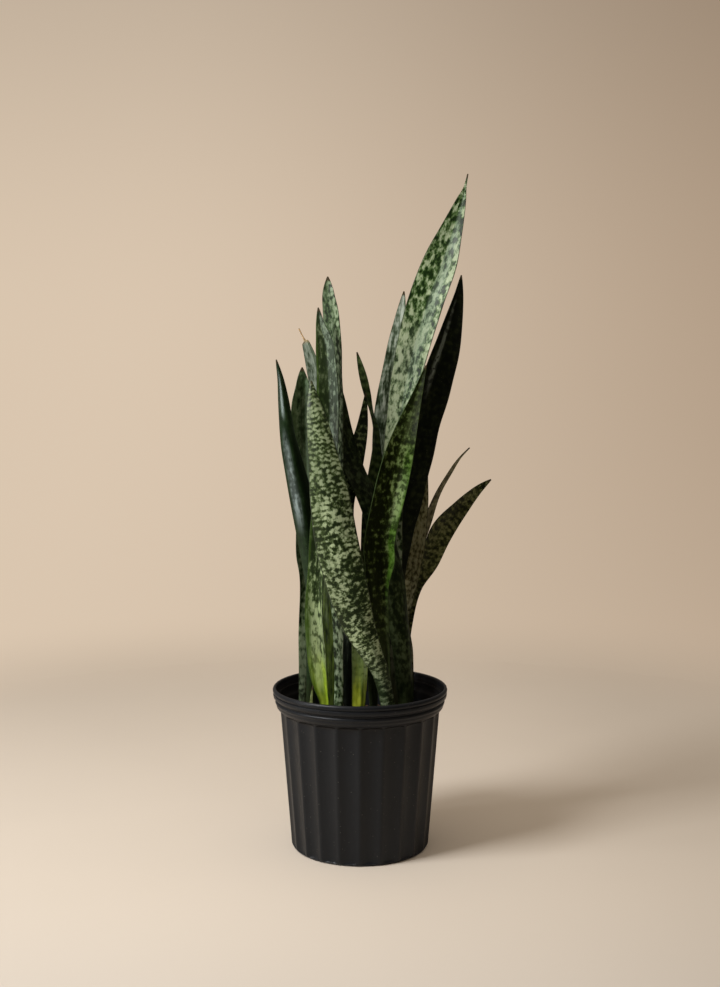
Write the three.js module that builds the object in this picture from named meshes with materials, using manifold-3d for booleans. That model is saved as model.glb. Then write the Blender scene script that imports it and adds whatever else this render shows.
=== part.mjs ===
// Snake plant in a fluted nursery pot, all one fixed body.
// Millimetres, Z up, front toward -Y. The origin is the centre of the pot's flat underside.
import * as THREE from 'three';
import { mergeVertices } from 'three/addons/utils/BufferGeometryUtils.js';
import Module from 'manifold-3d';

const wasm = await Module();
wasm.setup();

const TURN = Math.PI * 2;
const CLEARANCE = 0.35;

// ---- Pot: a thin moulded tub, wider at the top.
const FLUTES = 22;
const SECTORS_PER_FLUTE = 4;
const SECTORS = FLUTES * SECTORS_PER_FLUTE;
const FLUTE_DEPTH = 3.2;
// The first ridge stands at the front of the pot.
const FIRST_RIDGE = -TURN / 4;

// Half section of the pot: radius, height, and how much of the flute depth is cut there.
const POT_SECTION = [
  // underside and its rounded edge
  [88, 0, 0],
  [96.5, 0.8, 0],
  [100, 4.5, 0],
  // fluted wall
  [100.4, 7, 0.5],
  [101, 12, 1],
  [115.4, 193, 1],
  [115.9, 199, 0],
  // stacking bead
  [117.2, 201, 0],
  [121, 204, 0],
  [122, 210, 0],
  [121, 216, 0],
  [118.6, 218.6, 0],
  // rolled lip
  [121.5, 221.5, 0],
  [126.3, 224, 0],
  [127, 230, 0],
  [126.3, 234, 0],
  [124.4, 235, 0],
  [122.2, 232.5, 0],
  // inside: lip, stacking ledge, plain wall and floor
  [118.6, 214, 0],
  [114.4, 208.5, 0],
  [111.2, 198, 0],
  [95.4, 6, 0],
  [92, 3, 0],
];
const FLOOR_THICKNESS = 3;

const DRAIN_HOLES = 8;
const DRAIN_RING_RADIUS = 78;
const DRAIN_RADIUS = 7;

// ---- Potting mix: a low mound that stops below the rim.
const SOIL_BOTTOM = FLOOR_THICKNESS + CLEARANCE;
const SOIL_SIDES = 40;
const SOIL_SECTION = [
  [0, SOIL_BOTTOM],
  [91.5, SOIL_BOTTOM],
  [95, SOIL_BOTTOM + 3.4],
  [108.9, 178],
  [100, 181],
  [55, 184],
  [0, 186],
];

// ---- Leaves: each rises from the mix as a thick channelled blade and ends in a point.
const LEAF_FOOT_HEIGHT = 150;
const LEAF_FREE_HEIGHT = 192;
const LEAF_STEPS = 2;
const LEAF_STRIPS = 4;
const MARGIN_THICKNESS = 1.3;
const TIP_THICKNESS = 1.7;
const FOOT_THICKNESS = 8;
const HOLE_SIDES = 12;

// foot: across, back, width and turn where the leaf leaves the mix.
// rows, from the foot up: height, across, back, width, turn in degrees, channel depth.
// A turn of 0 faces the front. A channel above 0 is hollow toward the front, below 0 toward the back.
const LEAVES = {
  leaf_tall: {
    color: 0x7d9a72,
    foot: [50, -3, 18, 25],
    rows: [
      [290, 47, 0, 26, 30, 5],
      [400, 44, 1, 32, 20, 5],
      [500, 46, 5, 31.5, -2, 4],
      [580, 52, 9, 34, -14, 4],
      [651, 61, 12, 38.5, -14, 5],
      [722, 76, 14, 47, -10, 6],
      [790, 95, 16, 51, -9, 7],
      [845, 115, 19, 49, -8, 7],
      [893, 131.5, 23, 32, -8, 5],
      [935, 145, 27, 14, -5, 2],
      [954, 150.6, 29, 4, 0, 0],
      [974, 154.8, 30, 1.6, 0, 0],
    ],
  },
  leaf_front_twist: {
    color: 0x55702f,
    foot: [38, -44, 13, -5],
    rows: [
      [297, 33, -47, 18, -5, 3],
      [383, 24, -50, 30.5, 6, 8],
      [425, 26, -50, 42, 9, 10],
      [454, 25, -49, 43.5, 12, 11],
      [511, 37, -45, 45, 14, 11],
      [560, 50, -38, 43, 12, 9],
      [610, 65, -28, 30, 6, 5],
      [655, 80, -20, 15, 2, 2],
      [700, 94, -12, 1.6, 0, 0],
    ],
  },
  leaf_dark: {
    color: 0x26332a,
    foot: [62, 14, 17, 15],
    rows: [
      [300, 56, 16, 20, 20, 3],
      [395, 54, 19, 23, 25, 5],
      [447, 60, 25, 30, 25, 6],
      [505, 70, 30, 40, 25, 7],
      [563, 81, 34, 46, 25, 8],
      [621, 93, 37, 49, 25, 8],
      [679, 110, 40, 49, 22, 8],
      [737, 128, 43, 37, 18, 6],
      [795, 142.5, 48, 16, 10, 2],
      [832, 148, 50, 1.6, 0, 0],
    ],
  },
  leaf_grey: {
    color: 0x6f8576,
    foot: [-16, 41, 18, -25],
    rows: [
      [290, -12, 45, 29, -35, 4],
      [370, 11, 51, 34, -40, 5],
      [450, 34, 52, 41, -40, 6],
      [520, 38, 50, 45, -40, 6],
      [590, 40, 52, 46, -40, 6],
      [650, 45, 53, 43, -40, 6],
      [720, 54, 54, 33, -38, 4],
      [770, 60, 55, 17, -30, 2],
      [809, 64.5, 56, 1.6, 0, 0],
    ],
  },
  leaf_curl: {
    color: 0x2f4632,
    foot: [20, 18, 12, 30],
    rows: [
      [300, 16, 22, 26, 40, 3],
      [400, 11, 27, 33, 40, 4],
      [480, 14, 28, 35, 40, 4],
      [545, 21, 29, 28, 40, 3],
      [600, 23, 31, 18, 60, 1],
      [633, 17, 37, 13, 75, 0],
      [660, 10, 39, 13, 40, 1],
      [690, 3, 40, 10, 10, 1],
      [720, -4.5, 40, 1.6, 0, 0],
    ],
  },
  leaf_short_mid: {
    color: 0x486442,
    foot: [-2.5, -38, 17, 0],
    rows: [
      [270, -1.2, -32, 23, 15, 5],
      [345, -4, -12, 30, 35, 5],
      [420, -19, 5, 32, 40, 4],
      [493, -23, 12, 31, 42, 4],
      [560, -10, 20, 31, 35, 3],
      [610, 2.5, 19, 17, 15, 2],
      [661, 8.5, 17, 1.6, 10, 0],
    ],
  },
  leaf_diagonal: {
    color: 0x3d5345,
    foot: [67, -35, 20, 20],
    rows: [
      [280, 64, -33, 29, 28, -6],
      [337, 58, -31, 35, 33, -6],
      [399, 50, -28, 37, 35, -5],
      [460, 34, -27, 39, 35, -4],
      [510, 14, -20, 37, 32, -3],
      [558, -9, -6, 35, 35, -3],
      [601, -20, 1, 29, 35, -2],
      [650, -30, 10, 22, 35, -1],
      [690, -36, 13, 1.6, 20, 0],
    ],
  },
  leaf_left_tall: {
    color: 0x5c7a5a,
    foot: [-31, -19, 15, -30],
    rows: [
      [300, -28.8, -20, 18, -40, 3],
      [400, -33, -18, 31, -40, 4],
      [500, -35.6, -13, 39, -38, 5],
      [600, -35.4, -8, 38.5, -36, 5],
      [680, -35, -5, 34, -36, 5],
      [763, -39, -1, 29, -33, 3],
      [799, -44.5, 1, 20, -30, 1],
      [826, -46, 3, 1.6, 0, 0],
    ],
  },
  leaf_left_second: {
    color: 0x6a855a,
    foot: [-48, -47, 11, -10],
    rows: [
      [222, -49.7, -47, 13.5, -14, 4],
      [258, -55.5, -47, 25, -20, 7],
      [310, -60, -46, 30.5, -28, 8],
      [368, -61, -44, 28, -30, 8],
      [430, -57, -42, 28, -28, 7],
      [500, -51, -38, 33, -25, 6],
      [570, -46, -34, 34, -22, 6],
      [630, -44, -31, 34, -20, 5],
      [680, -45, -28, 31, -20, 5],
      [725, -48, -24, 27, -20, 4],
      [756, -55.5, -20, 13, -15, 1],
      [781, -59, -17, 1.6, 0, 0],
    ],
  },
  leaf_dry_tip: {
    color: 0x6d827c,
    foot: [-41, 12, 14, -30],
    rows: [
      [300, -41, 15, 28, -40, 3],
      [400, -42, 20, 33, -42, 4],
      [500, -45, 24, 31, -42, 4],
      [600, -54, 24, 30, -42, 4],
      [665, -61, 21, 27, -40, 3],
      [705, -68.5, 18, 23, -38, 2],
      [731, -77, 15, 13, -30, 1],
      [737, -80, 15, 2.4, 0, 0],
      [753, -88, 14, 1.6, 0, 0],
    ],
  },
  leaf_far_left: {
    color: 0x2d453b,
    foot: [-72, -12, 13, 15],
    rows: [
      [300, -70, -9, 15, 16, -1],
      [379, -68.5, -7, 19, 12, -4],
      [440, -74, -10, 26, 9, -9],
      [507, -83, -14, 32, 8, -12],
      [561, -94, -17, 27, 10, -10],
      [600, -101.5, -18, 22, 20, -5],
      [622, -104.5, -18, 19, 16, -5],
      [650, -108, -17, 15, 10, -5],
      [680, -112.5, -15, 8.5, 8, -2],
      [708, -119, -13, 1.6, 0, 0],
    ],
  },
  leaf_left_back: {
    color: 0x3f5d42,
    foot: [-84, 6, 11, 20],
    rows: [
      [300, -84, 9, 13, 25, 2],
      [385, -82, 16, 16, 28, 3],
      [425, -83, 20, 25, 30, 3],
      [470, -82, 25, 30, 32, 4],
      [530, -84, 31, 34, 34, 5],
      [580, -87, 35, 36, 34, 6],
      [636, -88, 38, 35, 33, 5],
      [672, -85, 39, 21, 28, 3],
      [698, -84.5, 40, 1.6, 0, 0],
    ],
  },
  leaf_broad_front: {
    color: 0x5f7c5c,
    foot: [44, -78, 18, 15],
    rows: [
      [262, 32.4, -84, 22, 15, -3],
      [300, 17, -89, 30, 10, -5],
      [345, -3, -92, 46, 5, -7],
      [400, -19, -93, 56, 0, -8],
      [460, -33, -92, 59, 0, -9],
      [520, -42, -88, 54, 0, -8],
      [575, -51, -80, 41, 0, -6],
      [624, -60, -68, 28, 0, -4],
      [653, -65, -58, 16, 0, -2],
      [678, -68, -48, 1.6, 0, 0],
    ],
  },
  leaf_brown: {
    color: 0x5c6450,
    foot: [72, 38, 15, -15],
    rows: [
      [270, 69, 39, 24, -25, 3],
      [330, 63, 40, 27, -28, 4],
      [395, 75, 43, 36, -30, 5],
      [450, 84, 46, 36, -30, 5],
      [500, 90, 49, 28, -30, 4],
      [540, 95, 51, 12, -20, 1],
      [585, 98, 53, 1.6, 0, 0],
    ],
  },
  leaf_right: {
    color: 0x455a3c,
    foot: [67, 62, 12, 10],
    rows: [
      [300, 67, 65, 18, 20, 3],
      [367, 80, 71, 24, 25, 4],
      [411, 102.5, 77, 35, 25, 5],
      [455, 122.5, 82, 40, 25, 5],
      [490, 152, 86, 28, 22, 4],
      [514, 177, 89, 14, 15, 1],
      [530, 198, 91, 1.6, 0, 0],
    ],
  },
  leaf_thin_right: {
    color: 0x66745a,
    foot: [40, 66, 10, 30],
    rows: [
      [300, 54, 82, 20, 50, 2],
      [400, 80, 97, 23, 52, 2],
      [460, 99, 104, 22, 52, 2],
      [505, 117, 108, 17, 52, 1],
      [540, 138, 111, 10, 50, 0],
      [561, 152, 112, 4, 40, 0],
      [577, 167, 112, 1.6, 20, 0],
    ],
  },
  leaf_sprout: {
    color: 0x9fb06a,
    foot: [-69, -56, 5, 0],
    rows: [
      [215, -69.5, -56.5, 5, 0, 0],
      [233, -68.5, -57, 3.2, 0, 0],
      [248, -66.5, -58, 1.6, 0, 0],
    ],
  },
};

const FINISH = {
  pot: { color: 0x1d1f20, roughness: 0.55, metalness: 0 },
  soil: { color: 0x2c211a, roughness: 0.95, metalness: 0 },
  leaf: { roughness: 0.45, metalness: 0 },
};

// ---- Solids
function toManifold(geometry) {
  const bare = geometry.clone();
  bare.deleteAttribute('normal');
  bare.deleteAttribute('uv');
  const merged = mergeVertices(bare, 1e-4);
  return new wasm.Manifold(new wasm.Mesh({
    numProp: 3,
    vertProperties: merged.attributes.position.array,
    triVerts: new Uint32Array(merged.index.array),
  }));
}

function toGeometry(solid) {
  const mesh = solid.getMesh();
  const geometry = new THREE.BufferGeometry();
  geometry.setAttribute('position', new THREE.BufferAttribute(mesh.vertProperties, 3));
  geometry.setIndex(new THREE.BufferAttribute(mesh.triVerts, 1));
  geometry.computeVertexNormals();
  return geometry;
}

function fromTriangles(points, triangles) {
  const geometry = new THREE.BufferGeometry();
  geometry.setAttribute('position', new THREE.Float32BufferAttribute(points.flat(), 3));
  geometry.setIndex(triangles.flat());
  geometry.computeVertexNormals();
  return geometry;
}

// A hollow scallop between two ridges: 0 on a ridge and 1 halfway between.
function scallop(sector) {
  const along = (sector % SECTORS_PER_FLUTE) / SECTORS_PER_FLUTE;
  return 4 * along * (1 - along);
}

function potShell() {
  const points = [];
  const triangles = [];
  for (const [radius, height, cut] of POT_SECTION) {
    for (let sector = 0; sector < SECTORS; sector += 1) {
      const angle = FIRST_RIDGE + (TURN * sector) / SECTORS;
      const reach = radius - FLUTE_DEPTH * cut * scallop(sector);
      points.push([reach * Math.cos(angle), reach * Math.sin(angle), height]);
    }
  }
  for (let ring = 0; ring + 1 < POT_SECTION.length; ring += 1) {
    for (let sector = 0; sector < SECTORS; sector += 1) {
      const next = (sector + 1) % SECTORS;
      const low = ring * SECTORS;
      const high = low + SECTORS;
      triangles.push([low + sector, low + next, high + next]);
      triangles.push([low + sector, high + next, high + sector]);
    }
  }
  const underside = points.push([0, 0, 0]) - 1;
  const floor = points.push([0, 0, FLOOR_THICKNESS]) - 1;
  const last = (POT_SECTION.length - 1) * SECTORS;
  for (let sector = 0; sector < SECTORS; sector += 1) {
    const next = (sector + 1) % SECTORS;
    triangles.push([underside, next, sector]);
    triangles.push([floor, last + sector, last + next]);
  }
  return toManifold(fromTriangles(points, triangles));
}

function makePot() {
  let pot = potShell();
  const drill = new THREE.CylinderGeometry(DRAIN_RADIUS, DRAIN_RADIUS, FLOOR_THICKNESS * 3, 14);
  drill.rotateX(TURN / 4);
  for (let hole = 0; hole < DRAIN_HOLES; hole += 1) {
    const angle = (TURN * (hole + 0.5)) / DRAIN_HOLES;
    const placed = drill.clone();
    placed.translate(
      DRAIN_RING_RADIUS * Math.cos(angle),
      DRAIN_RING_RADIUS * Math.sin(angle),
      FLOOR_THICKNESS / 2,
    );
    pot = pot.subtract(toManifold(placed));
  }
  return toGeometry(pot);
}

// A plain oval hole, just larger than the foot of one leaf.
function leafHole([across, back, width, turn]) {
  const depth = LEAF_FREE_HEIGHT - LEAF_FOOT_HEIGHT + CLEARANCE;
  const thickness = footThickness(width);
  const hole = new THREE.CylinderGeometry(1, 1, depth, HOLE_SIDES);
  hole.rotateX(TURN / 4);
  hole.scale(width / 2 + CLEARANCE * 2, thickness / 2 + CLEARANCE * 2, 1);
  hole.rotateZ(THREE.MathUtils.degToRad(turn));
  hole.translate(across, back, LEAF_FOOT_HEIGHT - CLEARANCE + depth / 2);
  return toManifold(hole);
}

function makeSoil() {
  const profile = SOIL_SECTION.map(([radius, height]) => new THREE.Vector2(radius, height));
  const mound = new THREE.LatheGeometry(profile, SOIL_SIDES);
  mound.rotateX(TURN / 4);
  let soil = toManifold(mound);
  for (const { foot } of Object.values(LEAVES)) {
    soil = soil.subtract(leafHole(foot));
  }
  return toGeometry(soil);
}

function footThickness(width) {
  return Math.min(FOOT_THICKNESS, width * 0.55);
}

// Uniform Catmull-Rom value between the second and third of four rows.
function blend(before, from, to, after, t) {
  return from.map((value, column) => {
    const leave = (to[column] - before[column]) / 2;
    const arrive = (after[column] - value) / 2;
    const rise = to[column] - value;
    return value + t * (leave + t * (3 * rise - 2 * leave - arrive + t * (leave + arrive - 2 * rise)));
  });
}

// Rows along one leaf, from its foot to its tip.
function leafRows({ foot, rows }) {
  const [across, back, width, turn] = foot;
  const path = [
    [LEAF_FOOT_HEIGHT, across, back, width, turn, 0],
    [LEAF_FREE_HEIGHT, across, back, width, turn, 0],
    ...rows,
  ];
  const drawn = [path[0]];
  for (let row = 1; row + 1 < path.length; row += 1) {
    const after = path[Math.min(row + 2, path.length - 1)];
    for (let step = 0; step < LEAF_STEPS; step += 1) {
      drawn.push(blend(path[row - 1], path[row], path[row + 1], after, step / LEAF_STEPS));
    }
  }
  drawn.push(path[path.length - 1]);
  return drawn;
}

// Each row becomes a ring: the front face from left to right, then the back face.
function leafRing(rows, index, baseThickness) {
  const [height, across, back, width, turn, channel] = rows[index];
  const above = rows[Math.min(index + 1, rows.length - 1)];
  const below = rows[Math.max(index - 1, 0)];
  const centre = new THREE.Vector3(across, back, height);
  const rise = new THREE.Vector3(above[1] - below[1], above[2] - below[2], above[0] - below[0]);
  if (index < 2) rise.set(0, 0, 1);
  rise.normalize();
  const angle = THREE.MathUtils.degToRad(turn);
  const side = new THREE.Vector3(Math.cos(angle), Math.sin(angle), 0);
  side.addScaledVector(rise, -side.dot(rise)).normalize();
  const front = new THREE.Vector3().crossVectors(side, rise);
  const along = (height - LEAF_FOOT_HEIGHT) / (rows[rows.length - 1][0] - LEAF_FOOT_HEIGHT);
  const middle = TIP_THICKNESS + (baseThickness - TIP_THICKNESS) * (1 - along) ** 1.8;
  const ring = [];
  for (const face of [1, -1]) {
    for (let strip = 0; strip <= LEAF_STRIPS; strip += 1) {
      const u = face * ((2 * strip) / LEAF_STRIPS - 1);
      const thickness = MARGIN_THICKNESS + (middle - MARGIN_THICKNESS) * (1 - u * u);
      const point = centre.clone();
      point.addScaledVector(side, (u * width) / 2);
      point.addScaledVector(front, channel * u * u + (face * thickness) / 2);
      ring.push(point.toArray());
    }
  }
  return ring;
}

function makeLeaf(leaf) {
  const rows = leafRows(leaf);
  const baseThickness = footThickness(leaf.foot[2]);
  const points = rows.flatMap((_, index) => leafRing(rows, index, baseThickness));
  const around = 2 * (LEAF_STRIPS + 1);
  const triangles = [];
  for (let row = 0; row + 1 < rows.length; row += 1) {
    for (let edge = 0; edge < around; edge += 1) {
      const a = row * around + edge;
      const b = row * around + ((edge + 1) % around);
      const onBack = edge > LEAF_STRIPS;
      // The same diagonal crosses each quad of both faces, so the thin blade never pierces itself.
      if (onBack) triangles.push([a, b, a + around], [b, b + around, a + around]);
      else triangles.push([a, b, b + around], [a, b + around, a + around]);
    }
  }
  const last = (rows.length - 1) * around;
  for (let strip = 0; strip < LEAF_STRIPS; strip += 1) {
    const facing = around - 1 - strip;
    triangles.push([strip, facing, facing - 1], [strip, facing - 1, strip + 1]);
    triangles.push([last + strip, last + strip + 1, last + facing - 1]);
    triangles.push([last + strip, last + facing - 1, last + facing]);
  }
  return fromTriangles(points, triangles);
}

// ---- Scene graph
function named(name, geometry, finish) {
  const mesh = new THREE.Mesh(geometry, new THREE.MeshStandardMaterial(finish));
  mesh.name = name;
  return mesh;
}

const plant = new THREE.Group();
plant.name = 'snake_plant';
plant.add(named('pot', makePot(), FINISH.pot));
plant.add(named('soil', makeSoil(), FINISH.soil));
const leaves = new THREE.Group();
leaves.name = 'leaves';
for (const [name, leaf] of Object.entries(LEAVES)) {
  leaves.add(named(name, makeLeaf(leaf), { ...FINISH.leaf, color: leaf.color }));
}
plant.add(leaves);

export default plant;
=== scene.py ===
"""Snake plant in a black fluted nursery pot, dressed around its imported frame.

Metres, Z up, front toward -Y. The origin is the centre of the pot's flat underside.
"""
import math
import random

import bmesh
import bpy
import numpy as np
from mathutils import Matrix, Vector, noise


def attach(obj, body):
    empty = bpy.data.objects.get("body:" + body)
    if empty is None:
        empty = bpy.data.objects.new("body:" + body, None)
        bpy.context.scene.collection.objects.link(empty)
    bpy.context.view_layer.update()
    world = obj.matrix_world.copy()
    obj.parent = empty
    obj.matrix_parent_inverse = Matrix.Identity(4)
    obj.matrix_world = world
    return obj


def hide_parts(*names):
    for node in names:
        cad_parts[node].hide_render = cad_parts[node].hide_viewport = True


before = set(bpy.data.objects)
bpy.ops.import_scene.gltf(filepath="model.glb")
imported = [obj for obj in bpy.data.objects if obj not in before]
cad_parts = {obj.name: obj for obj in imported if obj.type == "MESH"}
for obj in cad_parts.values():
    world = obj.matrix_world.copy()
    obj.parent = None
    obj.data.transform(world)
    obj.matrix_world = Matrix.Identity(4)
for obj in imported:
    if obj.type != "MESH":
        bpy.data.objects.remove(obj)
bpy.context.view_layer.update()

MM = 0.001
BODY = "root"

# ---- Camera: level with the middle of the leaves, looking slightly down.
CAMERA_DISTANCE = 1.875
CAMERA_HEIGHT = 0.671
CAMERA_PITCH = math.radians(4.72)
LENS = 47.6
SENSOR = 36.0


def make_camera():
    data = bpy.data.cameras.new("photo_camera")
    data.lens = LENS
    data.sensor_width = SENSOR
    camera = bpy.data.objects.new("photo_camera", data)
    camera.location = (0, -CAMERA_DISTANCE, CAMERA_HEIGHT)
    camera.rotation_euler = (math.radians(90) - CAMERA_PITCH, 0, 0)
    bpy.context.collection.objects.link(camera)
    bpy.context.scene.camera = camera


make_camera()

# ---- Pot sizes, in millimetres
# The outer wall's radius where its line meets the ground, and how much it widens with height.
WALL_FOOT_RADIUS = 100.1
WALL_TAPER = 0.0794
FLUTES = 22
SECTORS_PER_FLUTE = 20
FLUTE_DEPTH = 4.0
FLUTE_LOW = 2.5
FLUTE_HIGH = 202.2
FLUTE_END = 4.5
RIDGE_SHARE = 0.2
FIRST_RIDGE = -math.pi / 2
FLOOR_THICKNESS = 3
DRAIN_HOLES = 8
DRAIN_RING_RADIUS = 78
DRAIN_RADIUS = 7
SHARP_ANGLE = math.radians(32)

# ---- Potting mix sizes, in millimetres
SOIL_RADIUS = 109
SOIL_EDGE_HEIGHT = 178
SOIL_CENTRE_HEIGHT = 186
SOIL_GAP = 0.4
SOIL_FLOOR = 3.4
# (radius, height) of the rings down the side of the mix and in under it.
SOIL_SIDE = ((102, 110), (94.5, 8), (91, SOIL_FLOOR), (45, SOIL_FLOOR))
SOIL_RINGS = 56
SOIL_SPOKES = 150
BARK_CHIPS = 300
PERLITE_GRAINS = 130
# Room kept free at the mix's edge, usual tilt in radians, where a grain's sides are cut flat, as a share
# of its size, and how far its centre stands above the mix, as a share of its thickness.
GRAIN_MARGIN = 9
GRAIN_TILT = 0.28
GRAIN_FLAT = 0.40
GRAIN_RISE = 0.22

# ---- Leaf sizes, in millimetres
LEAF_FOOT_HEIGHT = 150
LEAF_FREE_HEIGHT = 192
LEAF_STEPS = 9
LEAF_STRIPS = 18
STRIP_CROWDING = 0.94
MARGIN_THICKNESS = 1.1
MARGIN_ROUNDING = 0.45
MARGIN_WAVE = 0.9
TIP_THICKNESS = 1.5
TIP_WIDTH = 1.2
FOOT_THICKNESS = 8
FOOT_THICKNESS_SHARE = 0.55
CREASE_LIMIT = 0.6

# foot: across, back, width and turn where the leaf leaves the mix.
# rows, from the foot up: height, across, back, width, turn in degrees, channel depth.
# A turn of 0 faces the front. A channel above 0 is hollow toward the front, below 0 toward the back.
# look: the finish of the leaf, one of those in LEAF_LOOKS.
# fold: how the channel bends, from 1.2 for a creased leaf to 2 for an even curve.
# crease: where the deepest line of the channel runs, at the foot and at the tip, from -1 to 1.
LEAVES = {}


def add_leaf(name, look, fold, foot, *rows, crease=(0, 0)):
    LEAVES[name] = dict(look=look, fold=fold, foot=foot, rows=rows, crease=crease)


add_leaf(
    "leaf_tall", "pale_mottled", 1.3, (50, -3, 18, 25),
    (290, 47, 0, 26, 30, 5),
    (400, 44, 1, 32, 20, 5),
    (500, 46, 5, 31.5, -2, 4),
    (580, 52, 9, 34, -14, 4),
    (651, 61, 12, 38.5, -14, 5),
    (722, 76, 14, 47, -10, 6),
    (790, 95, 16, 51, -9, 7),
    (845, 115, 19, 49, -8, 7),
    (893, 131.5, 23, 32, -8, 5),
    (935, 145, 27, 14, -5, 2),
    (954, 150.6, 29, 4, 0, 0),
    (974, 154.8, 30, 1.6, 0, 0),
    crease=(0.1, 0.1),
)
add_leaf(
    "leaf_front_twist", "olive", 1.35, (38, -44, 13, -5),
    (297, 33, -47, 18, -5, 3),
    (383, 24, -50, 30.5, 6, 8),
    (425, 26, -50, 42, 9, 10),
    (454, 25, -49, 43.5, 12, 11),
    (511, 37, -45, 45, 14, 11),
    (560, 50, -38, 43, 12, 9),
    (610, 65, -28, 30, 6, 5),
    (655, 80, -20, 15, 2, 2),
    (700, 94, -12, 1.6, 0, 0),
    crease=(0.95, -0.35),
)
add_leaf(
    "leaf_dark", "near_black", 1.7, (62, 14, 17, 15),
    (300, 56, 16, 20, 20, 3),
    (395, 54, 19, 23, 25, 5),
    (447, 60, 25, 30, 25, 6),
    (505, 70, 30, 40, 25, 7),
    (563, 81, 34, 46, 25, 8),
    (621, 93, 37, 49, 25, 8),
    (679, 110, 40, 49, 22, 8),
    (737, 128, 43, 37, 18, 6),
    (795, 142.5, 48, 16, 10, 2),
    (832, 148, 50, 1.6, 0, 0),
)
add_leaf(
    "leaf_grey", "grey_green", 1.7, (-16, 41, 18, -25),
    (290, -12, 45, 29, -35, 4),
    (370, 11, 51, 34, -40, 5),
    (450, 34, 52, 41, -40, 6),
    (520, 38, 50, 45, -40, 6),
    (590, 40, 52, 46, -40, 6),
    (650, 45, 53, 43, -40, 6),
    (720, 54, 54, 33, -38, 4),
    (770, 60, 55, 17, -30, 2),
    (809, 64.5, 56, 1.6, 0, 0),
)
add_leaf(
    "leaf_curl", "deep_green", 1.8, (20, 18, 12, 30),
    (300, 16, 22, 26, 40, 3),
    (400, 11, 27, 33, 40, 4),
    (480, 14, 28, 35, 40, 4),
    (545, 21, 29, 28, 40, 3),
    (600, 23, 31, 18, 60, 1),
    (633, 17, 37, 13, 75, 0),
    (660, 10, 39, 13, 40, 1),
    (690, 3, 40, 10, 10, 1),
    (720, -4.5, 40, 1.6, 0, 0),
)
add_leaf(
    "leaf_short_mid", "yellow_foot", 1.8, (-2.5, -38, 17, 0),
    (270, -1.2, -32, 23, 15, 5),
    (345, -4, -12, 30, 35, 5),
    (420, -19, 5, 32, 40, 4),
    (493, -23, 12, 31, 42, 4),
    (560, -10, 20, 31, 35, 3),
    (610, 2.5, 19, 17, 15, 2),
    (661, 8.5, 17, 1.6, 10, 0),
)
add_leaf(
    "leaf_diagonal", "shaded", 1.8, (67, -35, 20, 20),
    (280, 64, -33, 29, 28, -6),
    (337, 58, -31, 35, 33, -6),
    (399, 50, -28, 37, 35, -5),
    (460, 34, -27, 39, 35, -4),
    (510, 14, -20, 37, 32, -3),
    (558, -9, -6, 35, 35, -3),
    (601, -20, 1, 29, 35, -2),
    (650, -30, 10, 22, 35, -1),
    (690, -36, 13, 1.6, 20, 0),
)
add_leaf(
    "leaf_left_tall", "mid_banded", 1.4, (-31, -19, 15, -30),
    (300, -28.8, -20, 18, -40, 3),
    (400, -33, -18, 31, -40, 4),
    (500, -35.6, -13, 39, -38, 5),
    (600, -35.4, -8, 38.5, -36, 5),
    (680, -35, -5, 34, -36, 5),
    (763, -39, -1, 29, -33, 3),
    (799, -44.5, 1, 20, -30, 1),
    (826, -46, 3, 1.6, 0, 0),
    crease=(0, -0.1),
)
add_leaf(
    "leaf_left_second", "fresh_foot", 1.25, (-48, -47, 11, -10),
    (222, -49.7, -47, 13.5, -14, 4),
    (258, -55.5, -47, 25, -20, 7),
    (310, -60, -46, 30.5, -28, 8),
    (368, -61, -44, 28, -30, 8),
    (430, -57, -42, 28, -28, 7),
    (500, -51, -38, 33, -25, 6),
    (570, -46, -34, 34, -22, 6),
    (630, -44, -31, 34, -20, 5),
    (680, -45, -28, 31, -20, 5),
    (725, -48, -24, 27, -20, 4),
    (756, -55.5, -20, 13, -15, 1),
    (781, -59, -17, 1.6, 0, 0),
    crease=(0.5, -0.05),
)
add_leaf(
    "leaf_dry_tip", "blue_green", 1.5, (-41, 12, 14, -30),
    (300, -41, 15, 28, -40, 3),
    (400, -42, 20, 33, -42, 4),
    (500, -45, 24, 31, -42, 4),
    (600, -54, 24, 30, -42, 4),
    (665, -61, 21, 27, -40, 3),
    (705, -68.5, 18, 23, -38, 2),
    (731, -77, 15, 13, -30, 1),
    (737, -80, 15, 2.4, 0, 0),
    (753, -88, 14, 1.6, 0, 0),
    crease=(0, 0.2),
)
add_leaf(
    "leaf_far_left", "glossy_dark", 1.8, (-72, -12, 13, 15),
    (300, -70, -9, 15, 16, -1),
    (379, -68.5, -7, 19, 12, -4),
    (440, -74, -10, 26, 9, -9),
    (507, -83, -14, 32, 8, -12),
    (561, -94, -17, 27, 10, -10),
    (600, -101.5, -18, 22, 20, -5),
    (622, -104.5, -18, 19, 16, -5),
    (650, -108, -17, 15, 10, -5),
    (680, -112.5, -15, 8.5, 8, -2),
    (708, -119, -13, 1.6, 0, 0),
)
add_leaf(
    "leaf_left_back", "soft_green", 1.7, (-84, 6, 11, 20),
    (300, -84, 9, 13, 25, 2),
    (385, -82, 16, 16, 28, 3),
    (425, -83, 20, 25, 30, 3),
    (470, -82, 25, 30, 32, 4),
    (530, -84, 31, 34, 34, 5),
    (580, -87, 35, 36, 34, 6),
    (636, -88, 38, 35, 33, 5),
    (672, -85, 39, 21, 28, 3),
    (698, -84.5, 40, 1.6, 0, 0),
)
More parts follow.
